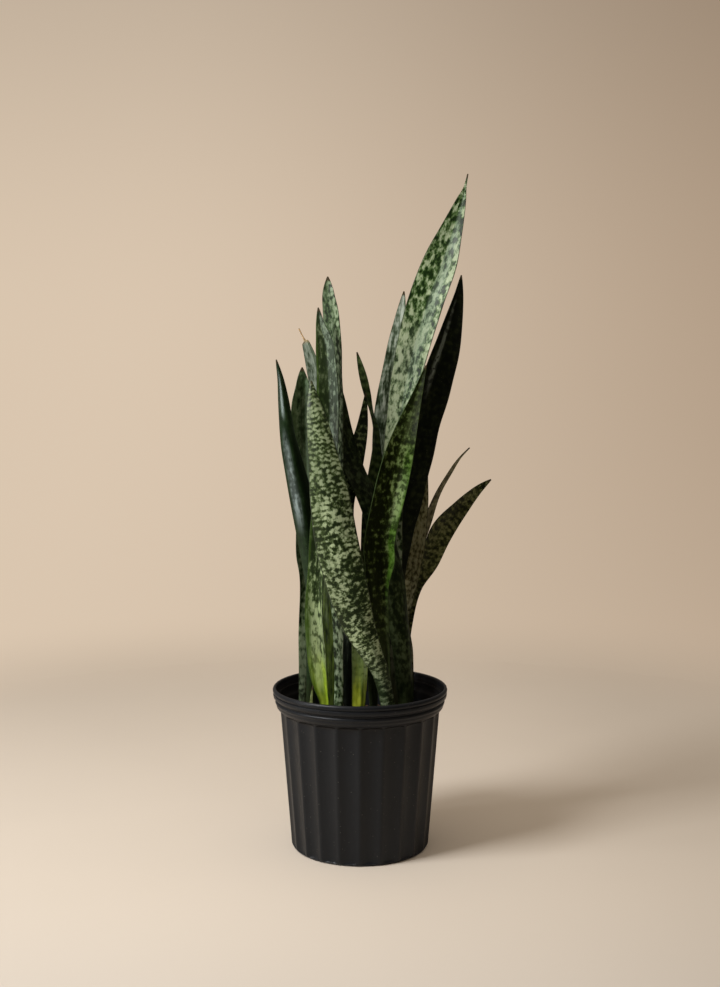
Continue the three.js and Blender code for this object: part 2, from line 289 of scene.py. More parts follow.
add_leaf(
    "leaf_broad_front", "zigzag", 2.0, (44, -78, 18, 15),
    (262, 32.4, -84, 22, 15, -3),
    (300, 17, -89, 30, 10, -5),
    (345, -3, -92, 46, 5, -7),
    (400, -19, -93, 56, 0, -8),
    (460, -33, -92, 59, 0, -9),
    (520, -42, -88, 54, 0, -8),
    (575, -51, -80, 41, 0, -6),
    (624, -60, -68, 28, 0, -4),
    (653, -65, -58, 16, 0, -2),
    (678, -68, -48, 1.6, 0, 0),
)
add_leaf(
    "leaf_brown", "brown_green", 1.8, (72, 38, 15, -15),
    (270, 69, 39, 24, -25, 3),
    (330, 63, 40, 27, -28, 4),
    (395, 75, 43, 36, -30, 5),
    (450, 84, 46, 36, -30, 5),
    (500, 90, 49, 28, -30, 4),
    (540, 95, 51, 12, -20, 1),
    (585, 98, 53, 1.6, 0, 0),
)
add_leaf(
    "leaf_right", "brown_banded", 1.7, (67, 62, 12, 10),
    (300, 67, 65, 18, 20, 3),
    (367, 80, 71, 24, 25, 4),
    (411, 102.5, 77, 35, 25, 5),
    (455, 122.5, 82, 40, 25, 5),
    (490, 152, 86, 28, 22, 4),
    (514, 177, 89, 14, 15, 1),
    (530, 198, 91, 1.6, 0, 0),
)
add_leaf(
    "leaf_thin_right", "dull_green", 1.6, (40, 66, 10, 30),
    (300, 54, 82, 20, 50, 2),
    (400, 80, 97, 23, 52, 2),
    (460, 99, 104, 22, 52, 2),
    (505, 117, 108, 17, 52, 1),
    (540, 138, 111, 10, 50, 0),
    (561, 152, 112, 4, 40, 0),
    (577, 167, 112, 1.6, 20, 0),
)
add_leaf(
    "leaf_sprout", "young", 2.0, (-69, -56, 5, 0),
    (215, -69.5, -56.5, 5, 0, 0),
    (233, -68.5, -57, 3.2, 0, 0),
    (248, -66.5, -58, 1.6, 0, 0),
)

# Lengths here are in metres, and heights are above the mix unless a share of the leaf is meant.
# deep, mid and pale: the tones of the pattern. share: how much of the blade is pale.
# lean: painted light and shade, how much paler the right half and darker the left half of the
# fold is. low_share: how much paler the foot is, fading over low_reach.
# period: height of one cross-row, and tighten: how much closer the rows are further up.
# swing: how far a row zigzags. patches: strength of the large clouds. ragged: of the fine breaks.
# rows, marks, cells and lines: strength of cross-rows, spots, scale-like blobs and fine cross-lines.
# Each is one value, or runs from one share of the leaf's height to another, and from low to high.
# grain: how many spots to the metre. stretch: length of a spot to its width.
# blooms: strips of another tone, some the leaf's own and some painted light or shade: colour,
# strength, place across and place up the leaf. A place starts, is full, is still full and has ended, in
# shares from the crease to the margin or from foot to tip.
# foot_blooms: the same, over the foot.
# dull: painted shade of the leaves around it: from where to where the leaf comes out of it, and its
# brightness below.
# foot and foot_light: tones up to foot_reach, the base's own colour on some looks and painted shade on
# others.
# foot_matt: how much rougher it is there.
# rim: painted rim light, the colour of the lit left edge, up to rim_reach, as a share of half the width.
# margin: colour of the thin edge all round. tip: colour of the dry tip, which is tip_reach long.
LEAF_DEFAULTS = dict(
    lean=0.0, low_share=0.0, low_reach=(0.05, 0.4), period=0.01, tighten=0.0, swing=0.0018,
    rows=0.6, marks=0.6, cells=0.0, lines=0.0, grain=170.0, stretch=1.0, patches=0.7, ragged=0.34,
    blooms=(), foot_blooms=(), dull=(0.0, 0.01, 1.0),
    foot=(0.02, 0.028, 0.01), foot_light=(0.035, 0.048, 0.018), foot_reach=0.06, foot_matt=0.0,
    rim=(0.02, 0.03, 0.01), rim_reach=0.2, rim_strength=0.0, roughness=0.42, gloss=0.2,
    margin=(0.018, 0.026, 0.01), tip=(0.06, 0.045, 0.022), tip_reach=0.006,
)
LEAF_LOOKS = {}
ALL_ACROSS = (-3, -2, 2, 3)


def add_look(name, **look):
    """A finish: the defaults above, with its own values in their place."""
    LEAF_LOOKS[name] = {**LEAF_DEFAULTS, **look}


# Places of strips, of tone or of painted light or shade, that run on past one margin, past the tip or down
# past the foot.
def right_of(start, full):
    return (start, full, 2, 3)


def left_of(full, end):
    return (-3, -2, full, end)


def above(start, full):
    return (start, full, 1.2, 1.3)


def below(full, end):
    return (-1, 0, full, end)


add_look(
    "pale_mottled",
    deep=(0.009, 0.026, 0.004), mid=(0.09, 0.17, 0.045), pale=(0.45, 0.54, 0.33),
    share=0.48, low_share=0.11, low_reach=(0.4, 0.66), period=0.018, swing=0.003,
    rows=0.3, marks=(0.45, 0.75, 1.6, 1.2), grain=165.0, stretch=2.1, patches=0.8,
    ragged=0.75,
    blooms=(
        # Painted sheen: the first strip makes the right half, which faces the light, paler and greyer.
        ((0.25, 0.33, 0.23), 0.74, (-0.04, 0.06, 0.42, 0.72), above(0.45, 0.8)),
        ((0.26, 0.34, 0.25), 0.55, (-0.1, -0.02, 0.02, 0.14), (0.3, 0.4, 0.75, 0.85)),
        ((0.6, 0.68, 0.5), 0.25, left_of(-0.15, 0.15), (0.48, 0.56, 0.68, 0.78)),
    ),
    # Painted shade of the neighbouring leaves darkens the lower stem.
    dull=(0.27, 0.36, 0.36), foot=(0.032, 0.037, 0.013), foot_light=(0.056, 0.064, 0.027),
    foot_reach=0.1,
)
add_look(
    "zigzag",
    deep=(0.01, 0.019, 0.004), mid=(0.075, 0.11, 0.036), pale=(0.4, 0.48, 0.28),
    share=0.45, period=0.0093, tighten=0.45, swing=0.0032, rows=(0.62, 0.9, 0.2, 0.5),
    marks=(0.5, 0.9, 1.25, 0.85), cells=(0.5, 0.72, 0.15, 0.85), grain=165.0, stretch=0.9,
    patches=1.1, lines=(0.3, 0.58, 1.3, 0.1), ragged=0.55,
    blooms=(
        # Painted shade: the first strip darkens the lower right side of the leaf.
        ((0.035, 0.052, 0.024), 0.6, (0.05, 0.25, 0.3, 0.55), below(0.36, 0.56)),
        ((0.06, 0.095, 0.022), 0.45, ALL_ACROSS, above(0.62, 0.86)),
        ((0.07, 0.1, 0.052), 0.75, ALL_ACROSS, below(0.18, 0.32)),
        ((0.055, 0.085, 0.02), 0.5, left_of(-0.6, -0.3), above(0.3, 0.7)),
    ),
    foot=(0.04, 0.06, 0.015), foot_reach=0.03, tip=(0.06, 0.065, 0.028),
)
add_look(
    "grey_green",
    deep=(0.022, 0.034, 0.015), mid=(0.13, 0.18, 0.112), pale=(0.5, 0.56, 0.46),
    share=0.535, period=0.008, swing=0.0025, rows=0.12, marks=0.8,
    grain=230.0, stretch=4.0, patches=0.8, ragged=0.25, gloss=0.04,
    blooms=(((0.035, 0.055, 0.018), 0.7, right_of(0.3, 0.7), above(0.84, 0.92)),),
    # The near-black foot is painted shade, where the leaves in front shade it.
    foot=(0.0012, 0.002, 0.001), foot_light=(0.003, 0.004, 0.002), foot_reach=0.22, foot_matt=0.45,
)
add_look(
    "mid_banded",
    deep=(0.01, 0.02, 0.005), mid=(0.1, 0.16, 0.066), pale=(0.36, 0.45, 0.28),
    share=0.47, lean=0.08, low_share=0.04, period=0.013, swing=0.003,
    rows=(0, 1, 0.4, 0.3), marks=(0, 0.5, 1.35, 1.45), grain=200.0, stretch=2.0, ragged=0.6,
    blooms=(
        ((0.085, 0.125, 0.07), 0.35, right_of(-0.03, 0.06), above(0.5, 0.8)),
        ((0.02, 0.042, 0.008), 0.55, left_of(-0.15, 0.0), above(0.5, 0.6)),
        ((0.03, 0.066, 0.01), 0.5, left_of(0.3, 0.8), above(0.8, 0.9)),
    ),
    foot=(0.018, 0.026, 0.013), foot_light=(0.05, 0.065, 0.035), foot_reach=0.02,
)
add_look(
    "fresh_foot",
    deep=(0.009, 0.018, 0.003), mid=(0.04, 0.066, 0.018), pale=(0.3, 0.38, 0.19),
    share=0.31, low_share=0.42, low_reach=(0.1, 0.26), period=0.012, swing=0.002,
    rows=(0, 0.5, 0.12, 0.15), marks=(0, 0.5, 1.15, 1.1), grain=210.0, stretch=2.6, ragged=0.6,
    blooms=(
        ((0.18, 0.235, 0.17), 0.8, right_of(-0.03, 0.08), above(0.5, 0.62)),
        ((0.012, 0.021, 0.004), 0.85, left_of(-0.1, 0.0), above(0.45, 0.58)),
        # The third strip darkens the left edge low down: partly the leaf's own darker green, partly painted
        # shade on the curve of the base.
        ((0.036, 0.072, 0.005), 1.0, left_of(-0.78, -0.38), below(0.3, 0.45)),
    ),
    foot=(0.12, 0.22, 0.002), foot_light=(0.42, 0.57, 0.04), foot_reach=0.085,
    # Over the foot, the first strip is partly the base's own pale green, partly a painted highlight; the
    # second is partly darker green, partly painted shade down the left edge; the third is painted shade in
    # the fold on the right side.
    foot_blooms=(
        ((0.52, 0.64, 0.26), 0.75, (-0.75, -0.5, -0.2, 0.05), (0.12, 0.18, 0.22, 0.32)),
        ((0.03, 0.065, 0.002), 0.95, left_of(-0.88, -0.6), below(0.26, 0.36)),
        ((0.02, 0.04, 0.003), 0.95, right_of(0.45, 0.85), below(0.26, 0.36)),
    ),
    # The rim is painted rim light on the left edge.
    rim=(0.05, 0.1, 0.012), rim_reach=0.3, rim_strength=0.75,
)
add_look(
    "yellow_foot",
    deep=(0.009, 0.018, 0.004), mid=(0.035, 0.06, 0.018), pale=(0.24, 0.31, 0.14),
    share=0.4, low_share=0.34, low_reach=(0.08, 0.18), rows=0.5,
    marks=0.8, foot=(0.16, 0.22, 0.004), foot_light=(0.58, 0.66, 0.06),
    foot_reach=0.07,
    blooms=(((0.26, 0.38, 0.1), 0.75, left_of(0.3, 0.6), below(0.24, 0.34)),),
    # The foot strip is a painted shadow, cast by a neighbouring leaf over the right side of the foot.
    foot_blooms=(((0.007, 0.012, 0.002), 0.97, right_of(0.2, 0.5), below(0.34, 0.44)),),
)
add_look(
    "blue_green",
    deep=(0.04, 0.058, 0.03), mid=(0.14, 0.175, 0.125), pale=(0.27, 0.32, 0.25),
    share=0.54, period=0.014, swing=0.0015, rows=0.25, marks=0.7,
    grain=240.0, stretch=3.0, patches=0.6, tip=(0.55, 0.36, 0.17), tip_reach=0.02, gloss=0.04,
    blooms=(((0.035, 0.058, 0.022), 0.8, right_of(0.15, 0.45), above(0.86, 0.91)),),
    # The dark foot is painted shade, where the leaves in front shade it.
    foot=(0.006, 0.01, 0.002), foot_light=(0.07, 0.105, 0.016), foot_reach=0.34, foot_matt=0.45,
)
add_look(
    "glossy_dark",
    deep=(0.007, 0.016, 0.005), mid=(0.014, 0.031, 0.01), pale=(0.03, 0.056, 0.022),
    share=0.44, rows=0.15, marks=0.5, stretch=4.0, roughness=0.4,
    gloss=0.18,
    blooms=(
        # The first two strips are painted highlights, a pale glossy streak down the rounded left side; the
        # third is painted shade on the right side, which faces away from the light.
        ((0.36, 0.44, 0.43), 0.78, (-0.95, -0.55, -0.5, 0.02), (0.54, 0.64, 0.76, 0.84)),
        ((0.34, 0.42, 0.4), 0.9, (-0.75, -0.45, -0.35, -0.05), (0.84, 0.88, 0.93, 0.985)),
        ((0.003, 0.005, 0.002), 0.9, right_of(0.05, 0.45), below(0.7, 0.9)),
    ),
)
add_look(
    "deep_green",
    deep=(0.016, 0.028, 0.008), mid=(0.06, 0.1, 0.028), pale=(0.15, 0.2, 0.08),
    share=0.48, rows=0.5, marks=0.5, period=0.012, stretch=1.6,
    foot=(0.02, 0.03, 0.012), foot_light=(0.05, 0.07, 0.03), foot_reach=0.1,
)
add_look(
    "soft_green",
    deep=(0.012, 0.022, 0.007), mid=(0.085, 0.15, 0.06), pale=(0.33, 0.44, 0.25),
    share=0.54, low_share=0.12, low_reach=(0.12, 0.34), rows=(0, 1, 0.5, 0.12),
    marks=(0, 0.6, 1.5, 0.6), period=0.012, stretch=2.0, patches=1.0,
    blooms=(
        ((0.32, 0.44, 0.32), 0.95, (0.35, 0.6, 0.8, 0.97), (0.6, 0.72, 0.92, 0.99)),
        ((0.15, 0.23, 0.1), 0.85, left_of(-0.55, -0.25), (0.5, 0.7, 0.95, 1.0)),
        ((0.44, 0.5, 0.33), 0.28, ALL_ACROSS, below(0.2, 0.32)),
        ((0.022, 0.036, 0.012), 0.75, (-0.1, 0.1, 0.3, 0.5), above(0.55, 0.7)),
    ),
    foot=(0.05, 0.07, 0.035), foot_light=(0.2, 0.25, 0.15), foot_reach=0.03,
)
add_look(
    "shaded",
    deep=(0.006, 0.011, 0.003), mid=(0.02, 0.031, 0.01), pale=(0.055, 0.078, 0.034),
    share=0.44, rows=0.25, marks=1.0, stretch=1.6, gloss=0.08,
    foot=(0.006, 0.01, 0.003),
)
add_look(
    "near_black",
    # The near-black tones are the leaf's own dark green, darkened further as painted shade.
    deep=(0.003, 0.005, 0.0018), mid=(0.007, 0.0105, 0.0032), pale=(0.02, 0.027, 0.009),
    share=0.42, rows=(0.2, 0.6, 0.0, 0.3), marks=0.8, stretch=1.6, roughness=0.34,
    blooms=(
        # The first strip is a painted reflection: a grey-blue streak on the left half near the top.
        ((0.24, 0.28, 0.235), 0.95, (-0.62, -0.42, -0.34, -0.12), (0.72, 0.8, 0.9, 0.985)),
        ((0.034, 0.035, 0.016), 1.0, ALL_ACROSS, below(0.28, 0.42)),
    ),
    foot=(0.008, 0.012, 0.004),
)
add_look(
    "olive",
    deep=(0.008, 0.012, 0.002), mid=(0.036, 0.056, 0.012), pale=(0.19, 0.27, 0.09),
    share=0.38, lean=0.09, period=0.012, rows=0.4, marks=1.0,
    grain=190.0, stretch=1.5, patches=0.9,
    blooms=(
        # The first strip is partly the leaf's own bright green, partly painted light on the lit right panel
        # lower down.
        ((0.075, 0.2, 0.014), 0.8, right_of(0.42, 0.66), (0.36, 0.43, 0.66, 0.86)),
        ((0.36, 0.46, 0.22), 0.6, (0.3, 0.5, 0.8, 0.98), (0.58, 0.63, 0.68, 0.76)),
        ((0.022, 0.03, 0.008), 0.95, right_of(-0.2, 0.1), above(0.76, 0.84)),
    ),
    # The rim colour is painted rim light on the left edge.
    margin=(0.05, 0.08, 0.025), rim=(0.05, 0.08, 0.03), rim_reach=0.06, rim_strength=0.8, gloss=0.05,
    foot=(0.01, 0.014, 0.004), foot_light=(0.03, 0.04, 0.012), foot_reach=0.2,
)
add_look(
    "brown_green",
    deep=(0.055, 0.052, 0.016), mid=(0.22, 0.21, 0.1), pale=(0.4, 0.385, 0.22),
    share=0.54, rows=0.3, marks=0.9, grain=210.0, stretch=1.7, gloss=0.1,
)
add_look(
    "brown_banded",
    deep=(0.01, 0.013, 0.003), mid=(0.042, 0.05, 0.013), pale=(0.15, 0.16, 0.065),
    share=0.45, swing=0.003, rows=0.5, marks=0.9, gloss=0.1,
)
add_look(
    "dull_green",
    deep=(0.07, 0.066, 0.028), mid=(0.23, 0.22, 0.125), pale=(0.4, 0.385, 0.24),
    share=0.5, rows=0.3, marks=0.7, stretch=3.0, gloss=0.1,
)
add_look(
    "young",
    deep=(0.16, 0.21, 0.05), mid=(0.25, 0.31, 0.1), pale=(0.42, 0.48, 0.22),
    share=0.6, foot=(0.4, 0.46, 0.18), foot_light=(0.45, 0.5, 0.22), foot_reach=0.02,
)


# ---- Shader helpers
class Tree:
    """A short way to add nodes and link them by socket name."""

    def __init__(self, tree):
        self.tree = tree

    def fill(self, socket, value):
        """Link a socket to the value, or set it as a constant."""
        if isinstance(value, bpy.types.NodeSocket):
            self.tree.links.new(value, socket)
        elif socket.type == "RGBA":
            socket.default_value = (*value, 1)
        else:
            socket.default_value = value

    def put(self, made, name, value):
        self.fill(made.inputs[name], value)

    def add(self, kind, settings=None, **sockets):
        made = self.tree.nodes.new(kind)
        for name, value in (settings or {}).items():
            setattr(made, name, value)
        for name, value in sockets.items():
            self.put(made, name.replace("_", " "), value)
        return made

    def math(self, operation, first, second=0.0):
        made = self.add("ShaderNodeMath", dict(operation=operation))
        self.fill(made.inputs[0], first)
        self.fill(made.inputs[1], second)
        return made.outputs[0]

    def plus(self, total, *others):
        for other in others:
            total = self.math("ADD", total, other)
        return total

    def minus(self, first, second):
        return self.math("SUBTRACT", first, second)

    def times(self, product, *others):
        for other in others:
            product = self.math("MULTIPLY", product, other)
        return product

    def divide(self, first, second):
        return self.math("DIVIDE", first, second)

    def ramp(self, value, low, high, start=0.0, end=1.0):
        """Runs smoothly from start to end while the value goes from low to high."""
        return self.add("ShaderNodeMapRange", dict(interpolation_type="SMOOTHSTEP"), Value=value,
                        From_Min=low, From_Max=high, To_Min=start, To_Max=end).outputs["Result"]

    def strip(self, value, limits):
        """1 between the two middle limits, fading to 0 at the outer ones."""
        start, full, still_full, end = limits
        return self.times(self.ramp(value, start, full), self.ramp(value, still_full, end, 1.0, 0.0))

    def mix(self, share, first, second):
        made = self.add("ShaderNodeMix", dict(data_type="RGBA", blend_type="MIX"))
        for index, value in ((0, share), (6, first), (7, second)):
            self.fill(made.inputs[index], value)
        return made.outputs[2]

    def dim(self, colour, share):
        made = self.add("ShaderNodeVectorMath", dict(operation="SCALE"), Scale=share)
        self.fill(made.inputs[0], colour)
        return made.outputs[0]

    def grain(self, vector, scale, detail=2.0, roughness=0.5):
        made = self.add("ShaderNodeTexNoise", Vector=vector, Scale=scale, Detail=detail,
                        Roughness=roughness)
        return made.outputs["Fac"]

    def bump(self, strength, distance, height):
        made = self.add("ShaderNodeBump", Strength=strength, Distance=distance, Height=height)
        return made.outputs[0]

    def position(self):
        return self.add("ShaderNodeTexCoord").outputs["Object"]

    def parts(self, vector):
        return self.add("ShaderNodeSeparateXYZ", Vector=vector).outputs

    def vector(self, x, y, z=0.0):
        return self.add("ShaderNodeCombineXYZ", X=x, Y=y, Z=z).outputs[0]

    def radius(self, x, y):
        """Distance from the plant's upright axis."""
        made = self.add("ShaderNodeVectorMath", dict(operation="LENGTH"), Vector=self.vector(x, y))
        return made.outputs["Value"]

    def stretch(self, across, along, across_scale, along_scale, start):
        """A place on a leaf, scaled on its own across and along, so that grain there is drawn out."""
        return self.vector(self.times(across, across_scale), self.times(along, along_scale), start)


BLACK = (0.0, 0.0, 0.0)


def new_group(name, inputs, outputs):
    """An empty shader group. Each input has its usual value, or None where it takes a place in space.
    The output named Colour is a colour, and the others are masks or values."""
    group = bpy.data.node_groups.new(name, "ShaderNodeTree")
    for socket, usual in inputs.items():
        kind = "Vector" if usual is None else "Color" if isinstance(usual, tuple) else "Float"
        made = group.interface.new_socket(socket, in_out="INPUT", socket_type="NodeSocket" + kind)
        if usual is not None:
            made.default_value = (*usual, 1) if kind == "Color" else usual
    for socket in outputs:
        kind = "Color" if socket == "Colour" else "Float"
        group.interface.new_socket(socket, in_out="OUTPUT", socket_type="NodeSocket" + kind)
    tree = Tree(group)
    entry = tree.add("NodeGroupInput").outputs
    leave = tree.add("NodeGroupOutput")
    return group, tree, entry, leave


# How strongly rows and marks of strength 1 lift the pattern's level, and the size of a scale-like blob,
# as a share of the row's height.
ROW_LIFT = 0.26
MARK_LIFT = 1.9
CELL_SIZE = 0.46
# Levels between which the pattern turns from its deep to its middle tone, and on to its pale one.
MID_LEVELS = (-0.31, 0.07)
PALE_LEVELS = (-0.08, 0.34)


def band_group():
    """Wavy cross-rows of pale marks on a leaf, from its across and along distances in metres."""
    group, tree, entry, leave = new_group(
        "leaf_bands",
        dict(Across=0.0, Along=0.0, Period=0.008, Tighten=0.0, Swing=0.002, Rows=0.5, Marks=0.5,
             Cells=0.0, Lines=0.0, Grain=170.0, Stretch=1.0, Patches=0.5, Ragged=0.34, Share=0.5,
             Start=0.0),
        ("Mid", "Pale"),
    )
    across, along, tighten = entry["Across"], entry["Along"], entry["Tighten"]

    def spread(across_scale, along_scale, detail=1.0, roughness=0.5):
        """Grain about zero, from -0.5 to 0.5, with its own scale across and along the leaf."""
        place = tree.stretch(across, along, across_scale, along_scale, entry["Start"])
        return tree.minus(tree.grain(place, 1.0, detail, roughness), 0.5)

    zigzag = tree.times(entry["Swing"], 4.0, spread(150.0, 14.0, 1.5))
    stretched = tree.times(along, tree.plus(1.0, tree.times(tighten, along)))
    cycles = tree.divide(tree.plus(stretched, zigzag), entry["Period"])
    cycles = tree.plus(cycles, tree.times(spread(22.0, 24.0), 2.0))
    rows = tree.math("SINE", tree.times(cycles, 2 * math.pi))
    marks = spread(entry["Grain"], tree.divide(entry["Grain"], entry["Stretch"]), 2.5, 0.55)
    patches = spread(42.0, tree.divide(30.0, entry["Stretch"]), 2.0)
    ragged = spread(620.0, 230.0, 2.0, 0.6)
    lines = spread(150.0, 470.0, 2.0, 0.6)
    rows_to_metre = tree.divide(tree.plus(1.0, tree.times(tighten, 2.0, along)), entry["Period"])
    scales = tree.add(
        "ShaderNodeTexVoronoi", dict(feature="F1", voronoi_dimensions="2D"), Scale=1.0, Randomness=0.75,
        Vector=tree.vector(tree.plus(tree.times(across, rows_to_metre), marks), tree.plus(cycles, 0.125)))
    cells = tree.times(tree.minus(CELL_SIZE, scales.outputs["Distance"]), entry["Cells"])
    level = tree.plus(
        tree.times(entry["Rows"], ROW_LIFT, rows),
        tree.times(entry["Marks"], MARK_LIFT, marks),
        tree.times(patches, entry["Patches"]),
        tree.plus(cells, tree.times(ragged, entry["Ragged"])),
        tree.times(lines, entry["Lines"]),
        tree.minus(entry["Share"], 0.5),
    )
    tree.put(leave, "Mid", tree.ramp(level, *MID_LEVELS))
    tree.put(leave, "Pale", tree.ramp(level, *PALE_LEVELS))
    return group


def fibre_group():
    """Fine fibres that run up a leaf, as a height."""
    group, tree, entry, leave = new_group(
        "leaf_fibres", dict(Across=0.0, Along=0.0, Start=0.0), ("Height",))
    across, along, start = entry["Across"], entry["Along"], entry["Start"]
    fine = tree.grain(tree.stretch(across, along, 1500.0, 25.0, start), 1.0)
    broad = tree.grain(tree.stretch(across, along, 330.0, 9.0, start), 1.0)
    tree.put(leave, "Height", tree.plus(tree.times(fine, 0.4), broad))
    return group


def dust_group():
    """Sparse pale specks and a soft uneven film, as two masks."""
    group, tree, entry, leave = new_group(
        "dust", dict(Vector=None, Size=900.0, Amount=0.3), ("Specks", "Film"))
    cells = tree.add("ShaderNodeTexVoronoi", dict(feature="F1"),
                     Vector=entry["Vector"], Scale=entry["Size"])
    lucky = tree.add("ShaderNodeSeparateColor", Color=cells.outputs["Color"]).outputs[0]
    chosen = tree.ramp(lucky, tree.minus(1.0, entry["Amount"]), 1.0)
    speck = tree.ramp(cells.outputs["Distance"], 0.10, 0.26, 1.0, 0.0)
    tree.put(leave, "Specks", tree.times(speck, chosen))
    tree.put(leave, "Film", tree.ramp(tree.grain(entry["Vector"], 14.0, 5.0, 0.6), 0.42, 0.75))
    return group


def depth_group():
    """A leaf's colour, a little darker or lighter in soft clouds and along fine threads."""
    group, tree, entry, leave = new_group(
        "leaf_depth", dict(Colour=BLACK, Cloud=None, Thread=None), ("Colour",))
    clouds = tree.ramp(tree.grain(entry["Cloud"], 1.0), 0.3, 0.7, 0.80, 1.16)
    threads = tree.ramp(tree.grain(entry["Thread"], 1.0), 0.3, 0.7, 0.84, 1.12)
    tree.put(leave, "Colour", tree.dim(entry["Colour"], tree.times(clouds, threads)))
    return group


TONE_AND_LIGHT_STRIP_FLOOR = 0.55
SIDE_LIMITS = ("Side Start", "Side Full", "Side Last", "Side End")
RISE_LIMITS = ("Rise Start", "Rise Full", "Rise Last", "Rise End")


def tone_and_light_strip_group():
    """A lengthwise strip over a leaf's colour, of its own tone or of painted light or shade, broken up by its
    threads and marks.
    """
    inputs = dict(Colour=BLACK, Tint=BLACK, Strength=0.5, Crease=0.0, Climb=0.0, Thread=None, Marks=0.5)
    inputs.update(dict.fromkeys(SIDE_LIMITS + RISE_LIMITS, 0.0))
    group, tree, entry, leave = new_group("leaf_tone_and_light_strip", inputs, ("Colour",))
    across = tree.strip(entry["Crease"], [entry[limit] for limit in SIDE_LIMITS])
    up = tree.strip(entry["Climb"], [entry[limit] for limit in RISE_LIMITS])
    strength = entry["Strength"]
    streaks = tree.ramp(tree.grain(entry["Thread"], 0.5), 0.3, 0.7,
                        tree.times(strength, TONE_AND_LIGHT_STRIP_FLOOR), strength)
    streaks = tree.times(streaks, tree.ramp(entry["Marks"], 0.0, 0.9, 0.25, 1.0))
    share = tree.times(tree.times(across, up), streaks)
    tree.put(leave, "Colour", tree.mix(share, entry["Colour"], entry["Tint"]))
    return group


FOOT_COVER = 0.985


def foot_group():
    """The two tones of a leaf's foot, its own colour or painted shade, over its colour, up to a wandering
    line, and how far they cover.
    """
    group, tree, entry, leave = new_group(
        "leaf_foot",
        dict(Colour=BLACK, Dark=BLACK, Light=BLACK, Reach=0.06, Along=0.0, Pale=0.0, Cloud=None, Thread=None),
        ("Colour", "Cover"),
    )
    reach, cloud = entry["Reach"], entry["Cloud"]
    wander = tree.times(tree.minus(tree.grain(cloud, 3.0, 3.0), 0.5), reach)
    height = tree.minus(tree.plus(entry["Along"], wander), tree.times(reach, 0.12, entry["Pale"]))
    cover = tree.ramp(height, tree.times(reach, 0.25), tree.times(reach, 1.25), FOOT_COVER, 0.0)
    blotch = tree.plus(tree.times(tree.grain(entry["Thread"], 0.30), 0.4),
                       tree.times(tree.grain(cloud, 5.0, 3.0), 0.6))
    tones = tree.mix(tree.ramp(blotch, 0.34, 0.66), entry["Dark"], entry["Light"])
    tree.put(leave, "Colour", tree.mix(cover, entry["Colour"], tones))
    tree.put(leave, "Cover", cover)
    return group


MARGIN_START = 0.955
MARGIN_FULL = 0.985
MARGIN_STRENGTH = 0.75


def edge_group():
    """A leaf's painted rim light on its left edge, its thin margin and its dry tip, over its colour."""
    inputs = {"Colour": BLACK, "Rim": BLACK, "Margin": BLACK, "Tip": BLACK, "Rim Reach": 0.2,
              "Rim Strength": 0.0, "Tip Reach": 0.006, "Side": 0.0, "Left to Tip": 0.0}
    group, tree, entry, leave = new_group("leaf_edges", inputs, ("Colour",))
    # Painted rim light along the left edge.
    rim = tree.ramp(entry["Side"], -1.0, tree.minus(entry["Rim Reach"], 1.0), 1.0, 0.0)
    colour = tree.mix(tree.times(rim, entry["Rim Strength"]), entry["Colour"], entry["Rim"])
    margin = tree.ramp(tree.math("ABSOLUTE", entry["Side"]), MARGIN_START, MARGIN_FULL)
    colour = tree.mix(tree.times(margin, MARGIN_STRENGTH), colour, entry["Margin"])
    ageing = tree.ramp(entry["Left to Tip"], tree.times(entry["Tip Reach"], 0.7),
                       tree.times(entry["Tip Reach"], 1.3), 1.0, 0.0)
    tree.put(leave, "Colour", tree.mix(ageing, colour, entry["Tip"]))
    return group


BANDS = band_group()
FIBRES = fibre_group()
DUST = dust_group()
DEPTH = depth_group()
TONE_AND_LIGHT_STRIP = tone_and_light_strip_group()
FOOT = foot_group()
EDGES = edge_group()


def new_material(name):
    """(material, its tree, its principled shader), with nothing else in it."""
    material = bpy.data.materials.new(name)
    material.use_nodes = True
    tree = Tree(material.node_tree)
    material.node_tree.nodes.clear()
    shader = tree.add("ShaderNodeBsdfPrincipled")
    output = tree.add("ShaderNodeOutputMaterial")
    tree.put(output, "Surface", shader.outputs[0])
    return material, tree, shader


def place_group(tree, group, **sockets):
    made = tree.add("ShaderNodeGroup")
    made.node_tree = group
    for name, value in sockets.items():
        tree.put(made, name, value)
    return made.outputs


# ---- Leaf finish
SIDE_LIGHT_BLEND = 0.10
LEAF_DUST = (0.42, 0.40, 0.34)


def read_map(tree, name):
    """The two values of one of the leaf's maps."""
    place = tree.add("ShaderNodeUVMap", dict(uv_map=name)).outputs[0]
    first, second, _ = tree.parts(place)
    return first, second


def up_leaf(tree, climb, strength):
    """A strength that is one value, or one that runs up the leaf."""
    return tree.ramp(climb, *strength) if isinstance(strength, tuple) else strength


def leaf_bands(tree, look, blade, fold, start):
    """The leaf's own pattern: its middle and pale shares at each point."""
    across, along = blade
    from_crease, climb = fold
    # Painted light and shade: the right half of the fold is made paler and the left half darker.
    lean = tree.ramp(from_crease, -SIDE_LIGHT_BLEND, SIDE_LIGHT_BLEND, -look["lean"], look["lean"])
    low = tree.ramp(along, *look["low_reach"], look["low_share"], 0.0)
    settings = {name.title(): look[name]
                for name in ("period", "tighten", "swing", "grain", "stretch", "patches", "ragged")}
    strengths = {name.title(): up_leaf(tree, climb, look[name])
                 for name in ("rows", "marks", "cells", "lines")}
    return place_group(tree, BANDS, Across=across, Along=along, Start=start,
                       Share=tree.plus(look["share"], lean, low), **settings, **strengths)


